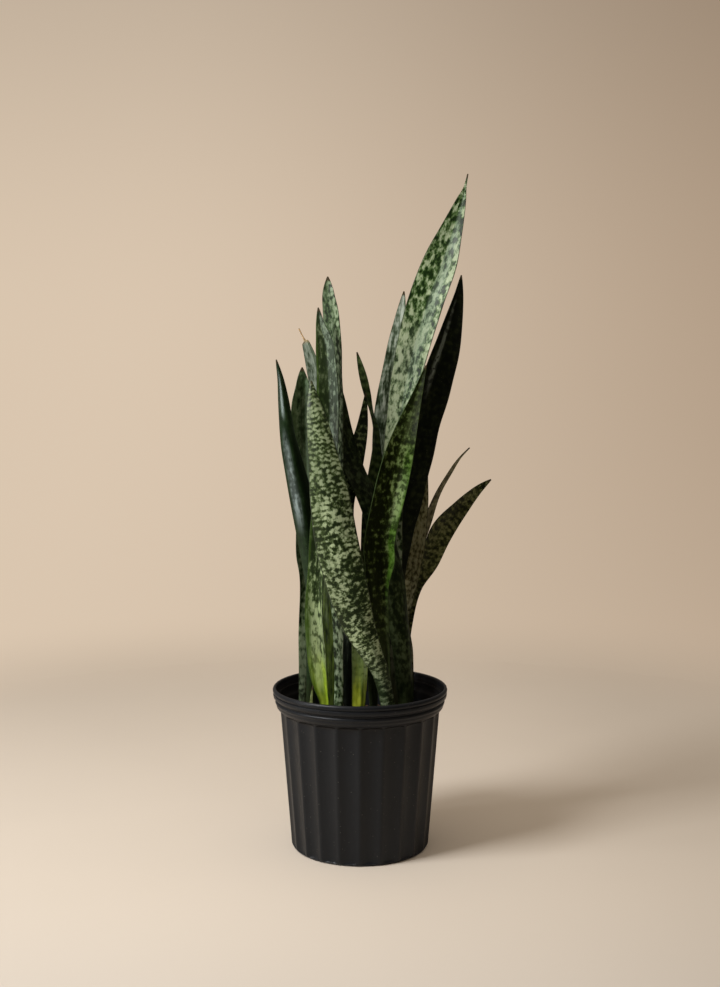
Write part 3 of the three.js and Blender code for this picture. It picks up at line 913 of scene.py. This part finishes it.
def add_tone_and_light_strip(tree, colour, bloom, fold, thread, marks):
    tint, strength, sides, rises = bloom
    limits = dict(zip(SIDE_LIMITS + RISE_LIMITS, (*sides, *rises)))
    return place_group(tree, TONE_AND_LIGHT_STRIP, Colour=colour, Tint=tint, Strength=strength, Crease=fold[0],
                       Climb=fold[1], Thread=thread, Marks=marks, **limits)["Colour"]


def add_edges(tree, colour, look, side, left_to_tip):
    settings = {name.replace("_", " ").title(): look[name]
                for name in ("rim", "rim_reach", "rim_strength", "margin", "tip", "tip_reach")}
    settings["Left to Tip"] = left_to_tip
    return place_group(tree, EDGES, Colour=colour, Side=side, **settings)["Colour"]


def leaf_material(name, look, start):
    """Waxy banded leaf. Its maps: blade holds distances across and up, share the side and the distance
    left to the tip, and fold the place from the crease and up the leaf."""
    look = LEAF_LOOKS[look]
    material, tree, shader = new_material(name)
    across, along = blade = read_map(tree, "blade")
    side, left_to_tip = read_map(tree, "share")
    fold = read_map(tree, "fold")
    bands = leaf_bands(tree, look, blade, fold, start)
    cloud = tree.stretch(across, along, 30.0, 9.0, start)
    thread = tree.stretch(across, along, 1300.0, 40.0, start)
    colour = tree.mix(bands["Mid"], look["deep"], look["mid"])
    colour = tree.mix(bands["Pale"], colour, look["pale"])
    colour = place_group(tree, DEPTH, Colour=colour, Cloud=cloud, Thread=thread)["Colour"]
    for bloom in look["blooms"]:
        colour = add_tone_and_light_strip(tree, colour, bloom, fold, thread, bands["Mid"])
    # Painted shade: the leaf is darker low down, where its neighbours shade it.
    shade_from, shade_to, shaded_brightness = look["dull"]
    colour = tree.dim(colour, tree.ramp(along, shade_from, shade_to, shaded_brightness, 1.0))
    foot = place_group(tree, FOOT, Colour=colour, Dark=look["foot"], Light=look["foot_light"],
                       Reach=look["foot_reach"], Along=along, Pale=bands["Pale"], Cloud=cloud,
                       Thread=thread)
    colour = foot["Colour"]
    for bloom in look["foot_blooms"]:
        colour = add_tone_and_light_strip(tree, colour, bloom, fold, thread, foot["Cover"])
    colour = add_edges(tree, colour, look, side, left_to_tip)
    dust = place_group(tree, DUST, Vector=tree.position(), Size=520.0, Amount=0.05)
    tree.put(shader, "Base Color", tree.mix(tree.times(dust["Specks"], 0.30), colour, LEAF_DUST))
    tree.put(shader, "Roughness", tree.plus(
        look["roughness"] - 0.05, tree.times(dust["Film"], 0.12),
        tree.times(foot["Cover"], look["foot_matt"]), tree.times(bands["Pale"], 0.06)))
    fibres = place_group(tree, FIBRES, Across=across, Along=along, Start=start)
    tree.put(shader, "Normal", tree.bump(strength=0.35, distance=0.0005, height=fibres["Height"]))
    shader.inputs["Specular IOR Level"].default_value = look["gloss"]
    return material


# ---- Pot finish
PLASTIC_DARK = (0.0060, 0.0078, 0.0104)
PLASTIC_DUSTY = (0.0105, 0.0125, 0.0150)
PLASTIC_STREAK = (0.024, 0.024, 0.025)
POT_DUST = (0.20, 0.185, 0.16)
INNER_SHADE = (0.0012, 0.0012, 0.0012)
# Where the inside of the rim starts, and where its shade fades out below the lip, in metres.
INSIDE_START = 0.1995
INSIDE_FADE = (0.224, 0.230)
# A radius that runs within the pot's wall: from height to height, and from radius to radius.
WALL_SPLIT = (0.200, 0.213, 0.1158, 0.1188)
LIP_SPLIT = (0.2215, 0.2225, 0.0, 0.0037)


def inside_pot(tree, x, y, z):
    """1 on the pot's inner face near the rim, 0 on its outer face and on the lip."""
    split = tree.plus(tree.ramp(z, *WALL_SPLIT), tree.ramp(z, *LIP_SPLIT))
    inner = tree.math("LESS_THAN", tree.radius(x, y), split)
    high = tree.math("GREATER_THAN", z, INSIDE_START)
    return tree.times(high, tree.ramp(z, *INSIDE_FADE, 1.0, 0.0), inner)


def pot_material():
    """Black moulded plastic, satin, lightly dusty, with a fine moulded grain."""
    material, tree, shader = new_material("black_pot_plastic")
    position = tree.position()
    x, y, z = tree.parts(position)
    dust = place_group(tree, DUST, Vector=position, Size=330.0, Amount=0.14)
    streak_place = tree.vector(tree.times(x, 260.0), tree.times(y, 260.0), tree.times(z, 12.0))
    streaks = tree.ramp(tree.grain(streak_place, 1.0, 3.0, 0.6), 0.45, 0.8)
    tone = tree.mix(tree.times(dust["Film"], 0.5), PLASTIC_DARK, PLASTIC_DUSTY)
    tone = tree.mix(tree.times(streaks, 0.15), tone, PLASTIC_STREAK)
    tone = tree.mix(tree.times(dust["Specks"], 0.5), tone, POT_DUST)
    inside = inside_pot(tree, x, y, z)
    # Painted shade: the inner face near the rim is made near black.
    tree.put(shader, "Base Color", tree.mix(inside, tone, INNER_SHADE))
    tree.put(shader, "Roughness", tree.plus(0.37, tree.times(dust["Film"], 0.14),
                                            tree.times(inside, 0.45), tree.times(streaks, 0.06)))
    moulding = tree.plus(tree.grain(position, 1400.0), tree.times(tree.grain(position, 90.0, 3.0), 1.5))
    tree.put(shader, "Normal", tree.bump(strength=0.22, distance=0.0003, height=moulding))
    shader.inputs["Specular IOR Level"].default_value = 0.25
    return material


def crumb_material(name, dark, light, scale, roughness, relief):
    """A loose natural piece of the mix: two tones broken up by grain."""
    material, tree, shader = new_material(name)
    position = tree.position()
    broad = tree.grain(position, scale, 5.0, 0.65)
    fine = tree.grain(position, scale * 6, 3.0, 0.6)
    share = tree.ramp(tree.plus(broad, tree.times(fine, 0.4)), 0.5, 0.95)
    tree.put(shader, "Base Color", tree.mix(share, dark, light))
    tree.put(shader, "Roughness", tree.plus(roughness, tree.times(fine, 0.1)))
    tree.put(shader, "Normal", tree.bump(strength=0.8, distance=relief, height=fine))
    return material


# ---- Mesh helpers
def add_piece(name, points, faces, material, node, maps=None):
    """A new smooth piece of the plant that rides on the part and stands for one CAD node."""
    mesh = bpy.data.meshes.new(name)
    mesh.from_pydata([tuple(point) for point in points], [], faces)
    for title, values in (maps or {}).items():
        layer = mesh.uv_layers.new(name=title)
        corners = np.empty(len(mesh.loops), dtype=np.int32)
        mesh.loops.foreach_get("vertex_index", corners)
        layer.data.foreach_set("uv", np.asarray(values, dtype=np.float32)[corners].ravel())
    mesh.materials.append(material)
    mesh.shade_smooth()
    mesh.validate()
    piece = bpy.data.objects.new(name, mesh)
    bpy.context.collection.objects.link(piece)
    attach(piece, BODY)
    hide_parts(node)
    return piece


def ring_faces(rings, count):
    """Quads between neighbouring closed rings of points, which are stored ring by ring."""
    faces = []
    for ring in range(rings - 1):
        low, high = ring * count, (ring + 1) * count
        for place in range(count):
            after = (place + 1) % count
            faces.append((low + place, low + after, high + after, high + place))
    return faces


# ---- Leaves
def blend_rows(before, start, end, after, share):
    """Uniform Catmull-Rom value between start and end."""
    leave, arrive, rise = (end - before) / 2, (after - start) / 2, end - start
    return start + share * (leave + share * (
        3 * rise - 2 * leave - arrive + share * (leave + arrive - 2 * rise)))


def leaf_rows(leaf):
    """The leaf's rows from inside the mix to the tip, with LEAF_STEPS drawn for each one given."""
    across, back, width, turn = leaf["foot"]
    path = np.array([
        (LEAF_FOOT_HEIGHT, across, back, width, turn, 0),
        (LEAF_FREE_HEIGHT, across, back, width, turn, 0),
        *leaf["rows"],
    ], dtype=float)
    drawn = [path[0]]
    for row in range(1, len(path) - 1):
        after = path[min(row + 2, len(path) - 1)]
        for step in range(LEAF_STEPS):
            drawn.append(blend_rows(path[row - 1], path[row], path[row + 1], after, step / LEAF_STEPS))
    drawn.append(path[-1])
    return np.array(drawn)


def leaf_section():
    """(across, face) around one ring: the front left to right, the right margin, the back, the left one.
    The strips crowd toward the margins."""
    shares = 2 * np.arange(LEAF_STRIPS + 1) / LEAF_STRIPS - 1
    quarter = math.pi / 2 * STRIP_CROWDING
    shares = np.sin(shares * quarter) / math.sin(quarter)
    front = [(share, 1.0) for share in shares]
    back = [(share, -1.0) for share in shares[::-1]]
    return np.array(front + [(1.0, 0.0)] + back + [(-1.0, 0.0)])


def leaf_frame(rows):
    """For each row its centre, its direction to the right margin and to the front, and its length up
    the leaf."""
    centres = rows[:, [1, 2, 0]]
    rises = np.gradient(centres, axis=0)
    rises[:2] = (0, 0, 1)
    rises /= np.linalg.norm(rises, axis=1)[:, None]
    turns = np.radians(rows[:, 4])
    sides = np.stack([np.cos(turns), np.sin(turns), np.zeros(len(turns))], axis=1)
    sides -= rises * np.sum(sides * rises, axis=1)[:, None]
    sides /= np.linalg.norm(sides, axis=1)[:, None]
    steps = np.linalg.norm(np.diff(centres, axis=0), axis=1)
    return centres, sides, np.cross(sides, rises), np.concatenate([[0], np.cumsum(steps)])


def margin_waves(lengths, free, dice):
    """How far the right and the left margin wave to the front, calm near the mix and at the tip."""
    wave_length, start = dice.uniform(70, 110), dice.uniform(0, 6)
    calm = np.clip(free / 90, 0, 1) * np.clip((lengths[-1] - lengths) / 120, 0, 1)
    right = MARGIN_WAVE * calm * np.sin(2 * math.pi * lengths / wave_length + start)
    left = MARGIN_WAVE * calm * np.sin(2 * math.pi * lengths / (wave_length * 1.27) + start + 2)
    return right, left


def middle_thickness(leaf, climb):
    """Thickness along the middle of the leaf, thinning from the foot to the tip."""
    foot = min(FOOT_THICKNESS, leaf["foot"][2] * FOOT_THICKNESS_SHARE)
    return TIP_THICKNESS + (foot - TIP_THICKNESS) * (1 - climb) ** 1.8


def leaf_caps(start):
    """Faces that close one end of the leaf, whose ring starts at this point."""
    strip = LEAF_STRIPS + 1
    left_margin, right_margin = start + 2 * strip + 1, start + strip
    pairs = [(start + place, start + 2 * strip - place) for place in range(strip)]
    caps = [(low[0], *high, low[1]) for low, high in zip(pairs, pairs[1:])]
    return [*caps, (left_margin, *pairs[0]), (pairs[-1][0], right_margin, pairs[-1][1])]


def make_leaf(name, leaf, seed):
    """One closed blade, with its maps and its finish."""
    dice = random.Random(seed)
    rows = leaf_rows(leaf)
    section = leaf_section()
    centres, sides, fronts, lengths = leaf_frame(rows)
    free = lengths - lengths[1]
    climb = (rows[:, 0] - LEAF_FOOT_HEIGHT) / (rows[-1, 0] - LEAF_FOOT_HEIGHT)
    widths = np.maximum(rows[:, 3], TIP_WIDTH)
    crease_low, crease_high = leaf["crease"]
    creases = np.clip(crease_low + (crease_high - crease_low) * climb, -CREASE_LIMIT, CREASE_LIMIT)
    middle = middle_thickness(leaf, climb)
    right_wave, left_wave = margin_waves(lengths, free, dice)
    points, blade, share, fold = [], [], [], []
    for row in range(len(rows)):
        width, channel, crease = widths[row], rows[row, 5], creases[row]
        for across, face in section:
            thickness = MARGIN_THICKNESS + (middle[row] - MARGIN_THICKNESS) * (1 - abs(across) ** 2)
            thickness = min(thickness, width * 0.9)
            bend = (across - crease) / (1 - math.copysign(crease, across - crease))
            lift = channel * abs(bend) ** leaf["fold"] + face * thickness / 2
            lift += (right_wave[row] if across > 0 else left_wave[row]) * abs(across) ** 3
            reach = across * width / 2
            if face == 0:
                reach += math.copysign(min(MARGIN_ROUNDING, width * 0.1), across)
            points.append(centres[row] + sides[row] * reach + fronts[row] * lift)
            blade.append((reach * MM, free[row] * MM))
            share.append((across, (lengths[-1] - lengths[row]) * MM))
            fold.append((bend, climb[row]))
    faces = ring_faces(len(rows), len(section))
    faces += [tuple(reversed(cap)) for cap in leaf_caps(0)]
    faces += leaf_caps((len(rows) - 1) * len(section))
    material = leaf_material(f"{name}_skin", leaf["look"], dice.uniform(0, 40))
    return add_piece(f"{name}_blade", np.array(points) * MM, faces, material, name,
                     dict(blade=blade, share=share, fold=fold))


# ---- Pot
def oval_arc(centre, size, start, end, count):
    """Points of an oval arc in the pot's half section: (radius, height)."""
    angles = np.radians(np.linspace(start, end, count))
    return [(centre[0] + size[0] * math.cos(a), centre[1] + size[1] * math.sin(a)) for a in angles]


def wall_radius(height):
    return WALL_FOOT_RADIUS + WALL_TAPER * height


def pot_outline():
    """(radius, height) from the underside up the outer wall, over the lip and down the inner wall."""
    wall_heights = [*np.arange(8, 26, 1.5), *np.arange(26, 184, 7), *np.arange(184, 202, 1.5)]
    underside = [(30, 0), (60, 0), (68, 0), (88, 0), *oval_arc((94.3, 6.0), (6.2, 6.0), -90, -8, 7)]
    wall = [(wall_radius(height), height) for height in wall_heights]
    band = [(116.5, 202.4), (117.9, 203.5), (119.9, 205.2), (121.3, 207.3), (121.9, 209.4), (121.8, 210.7)]
    bead = oval_arc((120.4, 214.0), (3.1, 3.2), -58, 66, 12)
    step = [(121.6, 217.6), (121.9, 218.6), (123.1, 219.5), (124.7, 220.2), (125.8, 221.2), (126.4, 222.8)]
    groove = [(126.5, 224.5), (126.4, 226.0), (126.0, 226.5), (124.9, 226.9), (124.9, 227.9), (126.1, 228.4)]
    lip = [
        (126.8, 229.3), (127.0, 230.5), (126.9, 231.7), (126.6, 232.8), (126.0, 233.9), (125.2, 234.7),
        *oval_arc((124.3, 231.6), (2.3, 3.4), 88, 176, 8),
    ]
    inner_rim = [
        (121.8, 229), (120.9, 223.6), (120.2, 222.6), (118.5, 222.0), (118.0, 217),
        (117.5, 214.2), (116.6, 212.4), (115.2, 211.2),
        (113.6, 210.0), (112.7, 208), (112.1, 204), (111.2, 198),
    ]
    inner_wall = [(103.4, 102), (95.6, 7), (94.6, 4.2)]
    floor = [(radius, FLOOR_THICKNESS) for radius in (92, 68, 30)]
    return underside + wall + band + bead + step + groove + lip + inner_rim + inner_wall + floor


def flute_cut(height, place):
    """Depth of the flute between two rounded ridges. place runs from 0 on a ridge to 1 on the next."""
    ends = min(height - FLUTE_LOW, FLUTE_HIGH - height) / FLUTE_END
    if ends <= 0:
        return 0.0
    fade = math.sqrt(1 - (1 - min(ends, 1)) ** 2)
    from_middle = abs(2 * place - 1)
    hollow_end = 1 - RIDGE_SHARE
    if from_middle > hollow_end:
        return FLUTE_DEPTH * fade * (1 - from_middle) ** 2 / RIDGE_SHARE
    return FLUTE_DEPTH * fade * (1 - from_middle ** 2 / hollow_end)


def drill_drain_holes(pot):
    """Cut the ring of drainage holes through the pot's floor."""
    cutter_mesh = bpy.data.meshes.new("drain_drill")
    shape = bmesh.new()
    for hole in range(DRAIN_HOLES):
        angle = 2 * math.pi * (hole + 0.5) / DRAIN_HOLES
        place = (DRAIN_RING_RADIUS * math.cos(angle) * MM, DRAIN_RING_RADIUS * math.sin(angle) * MM,
                 FLOOR_THICKNESS / 2 * MM)
        bmesh.ops.create_cone(shape, cap_ends=True, segments=28, radius1=DRAIN_RADIUS * MM,
                              radius2=DRAIN_RADIUS * MM, depth=FLOOR_THICKNESS * 3 * MM,
                              matrix=Matrix.Translation(place))
    shape.to_mesh(cutter_mesh)
    shape.free()
    cutter = bpy.data.objects.new("drain_drill", cutter_mesh)
    bpy.context.collection.objects.link(cutter)
    cut = pot.modifiers.new("drain_holes", "BOOLEAN")
    cut.object = cutter
    cut.solver = "EXACT"
    bpy.context.view_layer.update()
    drilled = bpy.data.meshes.new_from_object(
        pot.evaluated_get(bpy.context.evaluated_depsgraph_get()))
    pot.modifiers.clear()
    pot.data = drilled
    bpy.data.objects.remove(cutter)
    drilled.shade_smooth()


def make_pot():
    """The outline turned about the pot's axis, with the flutes cut into the outer wall."""
    sectors = FLUTES * SECTORS_PER_FLUTE
    outline = pot_outline()
    outer_end = next(i for i, (_, height) in enumerate(outline) if height > FLUTE_HIGH)
    points = []
    for row, (radius, height) in enumerate(outline):
        for sector in range(sectors):
            angle = FIRST_RIDGE + 2 * math.pi * sector / sectors
            place = (sector % SECTORS_PER_FLUTE) / SECTORS_PER_FLUTE
            cut = flute_cut(height, place) if row < outer_end else 0.0
            reach = radius - cut
            points.append((reach * math.cos(angle), reach * math.sin(angle), height))
    faces = ring_faces(len(outline), sectors)
    last = (len(outline) - 1) * sectors
    underside, floor = len(points), len(points) + 1
    points += [(0, 0, 0), (0, 0, FLOOR_THICKNESS)]
    for sector in range(sectors):
        after = (sector + 1) % sectors
        faces.append((underside, after, sector))
        faces.append((floor, last + sector, last + after))
    pot = add_piece("nursery_pot", np.array(points) * MM, faces, pot_material(), "pot")
    drill_drain_holes(pot)
    pot.data.set_sharp_from_angle(angle=SHARP_ANGLE)
    return pot


# ---- Potting mix
def soil_height(x, y):
    """Height of the mix's surface: a low mound with lumps and crumbs, in millimetres."""
    radius = math.hypot(x, y) / SOIL_RADIUS
    height = SOIL_CENTRE_HEIGHT + (SOIL_EDGE_HEIGHT - SOIL_CENTRE_HEIGHT) * radius ** 2.5
    lumps = 2.2 * noise.noise(Vector((x / 22, y / 22, 3)))
    crumbs = 1.6 * noise.noise(Vector((x / 6, y / 6, 7))) + 0.8 * noise.noise(Vector((x / 2.6, y / 2.6, 1)))
    return height + lumps + crumbs


def soil_ring(radius):
    """(x, y) of the points of one ring of the mix."""
    angles = [2 * math.pi * spoke / SOIL_SPOKES for spoke in range(SOIL_SPOKES)]
    return [(radius * math.cos(angle), radius * math.sin(angle)) for angle in angles]


def make_soil():
    """The mix, from its uneven surface down the inside of the pot to the pot's floor."""
    points = []
    for ring in range(1, SOIL_RINGS + 1):
        radius = (SOIL_RADIUS - SOIL_GAP) * ring / SOIL_RINGS
        points += [(x, y, soil_height(x, y)) for x, y in soil_ring(radius)]
    for radius, height in SOIL_SIDE:
        points += [(x, y, height) for x, y in soil_ring(radius)]
    rings = SOIL_RINGS + len(SOIL_SIDE)
    faces = [tuple(reversed(face)) for face in ring_faces(rings, SOIL_SPOKES)]
    top, bottom = len(points), len(points) + 1
    points += [(0, 0, soil_height(0, 0)), (0, 0, SOIL_FLOOR)]
    last = (rings - 1) * SOIL_SPOKES
    for spoke in range(SOIL_SPOKES):
        after = (spoke + 1) % SOIL_SPOKES
        faces.append((top, spoke, after))
        faces.append((bottom, last + after, last + spoke))
    material = crumb_material("dark_potting_mix", dark=(0.010, 0.007, 0.005), light=(0.055, 0.036, 0.022),
                              scale=160.0, roughness=0.85, relief=0.0012)
    return add_piece("potting_mix", np.array(points) * MM, faces, material, "soil")


def clear_of_leaves(x, y, room):
    """Whether a place on the mix is more than this room away from the foot of every leaf."""
    for leaf in LEAVES.values():
        across, back, width, _ = leaf["foot"]
        if math.hypot(x - across, y - back) < width / 2 + room:
            return False
    return True


def make_grain(dice, size, thick, rough):
    """A lumpy, slightly boxy grain, tilted at random, as points and faces about its own centre."""
    spin = Matrix.Rotation(dice.uniform(0, 2 * math.pi), 3, "Z") @ Matrix.Rotation(
        dice.gauss(0, GRAIN_TILT), 3, "X") @ Matrix.Rotation(dice.gauss(0, GRAIN_TILT), 3, "Y")
    grain = bmesh.new()
    bmesh.ops.create_icosphere(grain, subdivisions=2, radius=0.5)
    offset = Vector((dice.uniform(0, 99), dice.uniform(0, 99), 0))
    slim = dice.uniform(0.45, 0.8)
    for vert in grain.verts:
        swell = 1 + rough * noise.noise(vert.co * 3.1 + offset)
        x, y = [max(-GRAIN_FLAT, min(GRAIN_FLAT, value)) for value in vert.co.xy]
        vert.co = spin @ Vector((x * size, y * size * slim, vert.co.z * thick)) * swell
    points = [vert.co.copy() for vert in grain.verts]
    faces = [[vert.index for vert in face.verts] for face in grain.faces]
    grain.free()
    return points, faces


def scatter(name, count, seed, sizes, flatness, rough, material):
    """Loose grains pressed into the mix, joined into one piece."""
    dice = random.Random(seed)
    points, faces = [], []
    placed = 0
    while placed < count:
        radius = (SOIL_RADIUS - GRAIN_MARGIN) * math.sqrt(dice.random())
        angle = dice.uniform(0, 2 * math.pi)
        x, y = radius * math.cos(angle), radius * math.sin(angle)
        size = dice.uniform(*sizes)
        if not clear_of_leaves(x, y, size / 2):
            continue
        placed += 1
        thick = size * dice.uniform(*flatness)
        grain_points, grain_faces = make_grain(dice, size, thick, rough)
        height = soil_height(x, y) + thick * GRAIN_RISE
        first = len(points)
        points += [(point.x + x, point.y + y, point.z + height) for point in grain_points]
        faces += [tuple(first + index for index in face) for face in grain_faces]
    return add_piece(name, np.array(points) * MM, faces, material, "soil")


# ---- Studio
FLOOR_RADIUS = 1.3
WALL_RADIUS = 4.5
WALL_HEIGHT = 6.0
SWEEP_SPOKES = 96
# The paper at the front is darker and greyer than at the back: painted shade.
PAPER_FRONT_SHADED = (0.565, 0.528, 0.476)
PAPER_BACK = (0.725, 0.648, 0.548)
# The wall's glow is painted light: warm and bright on the left, dark on the right.
WALL_GLOW_LEFT = (0.70, 0.565, 0.43)
WALL_GLOW_RIGHT = (0.41, 0.305, 0.215)
LAMP_WHITE = (0.985, 0.985, 1.0)
LAMP_TARGET_HEIGHT = 0.42
AIR_COLOUR = (1.0, 0.86, 0.72)
AIR_LEFT = 0.20
AIR_RIGHT = 0.03
AIR_BACK = 0.10
AIR_TOP = 0.52


def backdrop_material():
    """Warm beige studio paper: the floor takes the lamps and has painted shade in its colour, and the wall
    glows with painted light.
    """
    material, tree, shader = new_material("beige_paper")
    position = tree.position()
    x, y, z = tree.parts(position)
    glow = tree.ramp(tree.radius(x, y), 0.95, 1.8)
    fibres = tree.ramp(tree.grain(position, 1.2, 3.0), 0.3, 0.7)
    # Painted light and shade: the paper is darker and greyer toward the camera, and lighter in the middle
    # than to the left and right.
    paper = tree.mix(tree.ramp(y, -0.95, -0.10), PAPER_FRONT_SHADED, PAPER_BACK)
    paper = tree.dim(paper, tree.times(tree.ramp(x, -0.7, 0.0, 0.95, 1.06),
                                       tree.ramp(x, 0.15, 0.65, 1.0, 0.89)))
    paper = tree.dim(paper, tree.ramp(fibres, 0.0, 1.0, 0.985, 1.015))
    tree.put(shader, "Base Color", tree.mix(glow, paper, BLACK))
    tree.put(shader, "Roughness", tree.ramp(tree.grain(position, 300.0), 0.2, 0.8, 0.85, 0.95))
    shader.inputs["Specular IOR Level"].default_value = 0.05
    # Painted light: the wall glows, brighter on the left, darker on the right and dimmer higher up.
    wall = tree.mix(tree.ramp(x, -1.1, 2.3), WALL_GLOW_LEFT, WALL_GLOW_RIGHT)
    wall = tree.dim(wall, tree.ramp(z, 0.8, 3.4, 1.0, 0.68))
    tree.put(shader, "Emission Color", tree.mix(glow, BLACK, wall))
    shader.inputs["Emission Strength"].default_value = 1.0
    return material


def add_sweep(name, outline, material, closed):
    """One part of the paper, turned about the plant. Its faces look up and inward."""
    angles = [2 * math.pi * spoke / SWEEP_SPOKES for spoke in range(SWEEP_SPOKES)]
    points = [(r * math.cos(a), r * math.sin(a), z) for r, z in outline for a in angles]
    faces = [tuple(reversed(face)) for face in ring_faces(len(outline), SWEEP_SPOKES)]
    if closed:
        points.append((0, 0, outline[0][1]))
        faces += [(len(points) - 1, spoke, (spoke + 1) % SWEEP_SPOKES) for spoke in range(SWEEP_SPOKES)]
    mesh = bpy.data.meshes.new(name)
    mesh.from_pydata(points, [], faces)
    mesh.materials.append(material)
    mesh.shade_smooth()
    sweep = bpy.data.objects.new(name, mesh)
    bpy.context.collection.objects.link(sweep)
    return sweep


def make_backdrop():
    """A flat round floor that curves up into a wall on every side."""
    material = backdrop_material()
    bend = WALL_RADIUS - FLOOR_RADIUS
    curve = [(FLOOR_RADIUS + bend * math.sin(a), bend * (1 - math.cos(a)))
             for a in np.radians(np.linspace(0, 90, 31))]
    add_sweep("paper_floor", [(0.3, 0), (0.6, 0), (0.9, 0), (FLOOR_RADIUS, 0)], material, True)
    wall = add_sweep("paper_wall", curve + [(WALL_RADIUS, WALL_HEIGHT)], material, False)
    wall.visible_diffuse = False
    wall.visible_glossy = False
    wall.visible_transmission = False
    wall.visible_shadow = False


def add_softbox(name, aim, distance, size, power):
    """A soft lamp at a distance from the plant, in the direction of aim: across, back, up."""
    target = Vector((0, 0, LAMP_TARGET_HEIGHT))
    place = target + Vector(aim).normalized() * distance
    data = bpy.data.lights.new(name, "AREA")
    data.shape = "RECTANGLE"
    data.size, data.size_y = size
    data.energy = power
    data.color = LAMP_WHITE
    light = bpy.data.objects.new(name, data)
    light.location = place
    light.rotation_euler = (target - place).to_track_quat("-Z", "Y").to_euler()
    light.visible_camera = False
    bpy.context.collection.objects.link(light)


def make_air():
    """Soft room light: bright overhead and on the left, dim on the right and behind the camera."""
    world = bpy.data.worlds.new("studio_air")
    world.use_nodes = True
    tree = Tree(world.node_tree)
    world.node_tree.nodes.clear()
    way = tree.add("ShaderNodeTexCoord").outputs["Generated"]
    x, y, z = tree.parts(way)
    level = tree.plus(tree.ramp(x, -1.0, 0.3, AIR_LEFT, AIR_RIGHT), tree.ramp(z, 0.15, 0.95, 0.0, AIR_TOP),
                      tree.ramp(y, 0.0, 1.0, 0.0, AIR_BACK))
    air = tree.add("ShaderNodeBackground", Color=AIR_COLOUR, Strength=level)
    output = tree.add("ShaderNodeOutputWorld")
    tree.put(output, "Surface", air.outputs[0])
    bpy.context.scene.world = world


def light_studio():
    make_air()
    add_softbox("key_softbox", aim=(-0.85, -0.53, 0.76), distance=2.3, size=(0.75, 0.8), power=46)
    add_softbox("left_strip", aim=(-0.95, -0.26, 0.12), distance=2.0, size=(0.25, 1.5), power=7)


# ---- Making
make_pot()
make_soil()
bark = crumb_material("bark_chip", dark=(0.020, 0.011, 0.006), light=(0.16, 0.085, 0.040),
                      scale=220.0, roughness=0.8, relief=0.0008)
perlite = crumb_material("perlite", dark=(0.45, 0.43, 0.39), light=(0.80, 0.79, 0.75),
                         scale=500.0, roughness=0.85, relief=0.0004)
scatter("bark_chips", BARK_CHIPS, seed=11, sizes=(5, 15), flatness=(0.22, 0.42), rough=0.35, material=bark)
scatter("perlite_grains", PERLITE_GRAINS, seed=12, sizes=(1.6, 4.2), flatness=(0.6, 0.95), rough=0.5,
        material=perlite)
for number, (leaf_name, leaf) in enumerate(LEAVES.items()):
    make_leaf(leaf_name, leaf, seed=100 + number)
make_backdrop()
light_studio()
bpy.context.scene.view_settings.view_transform = "Standard"
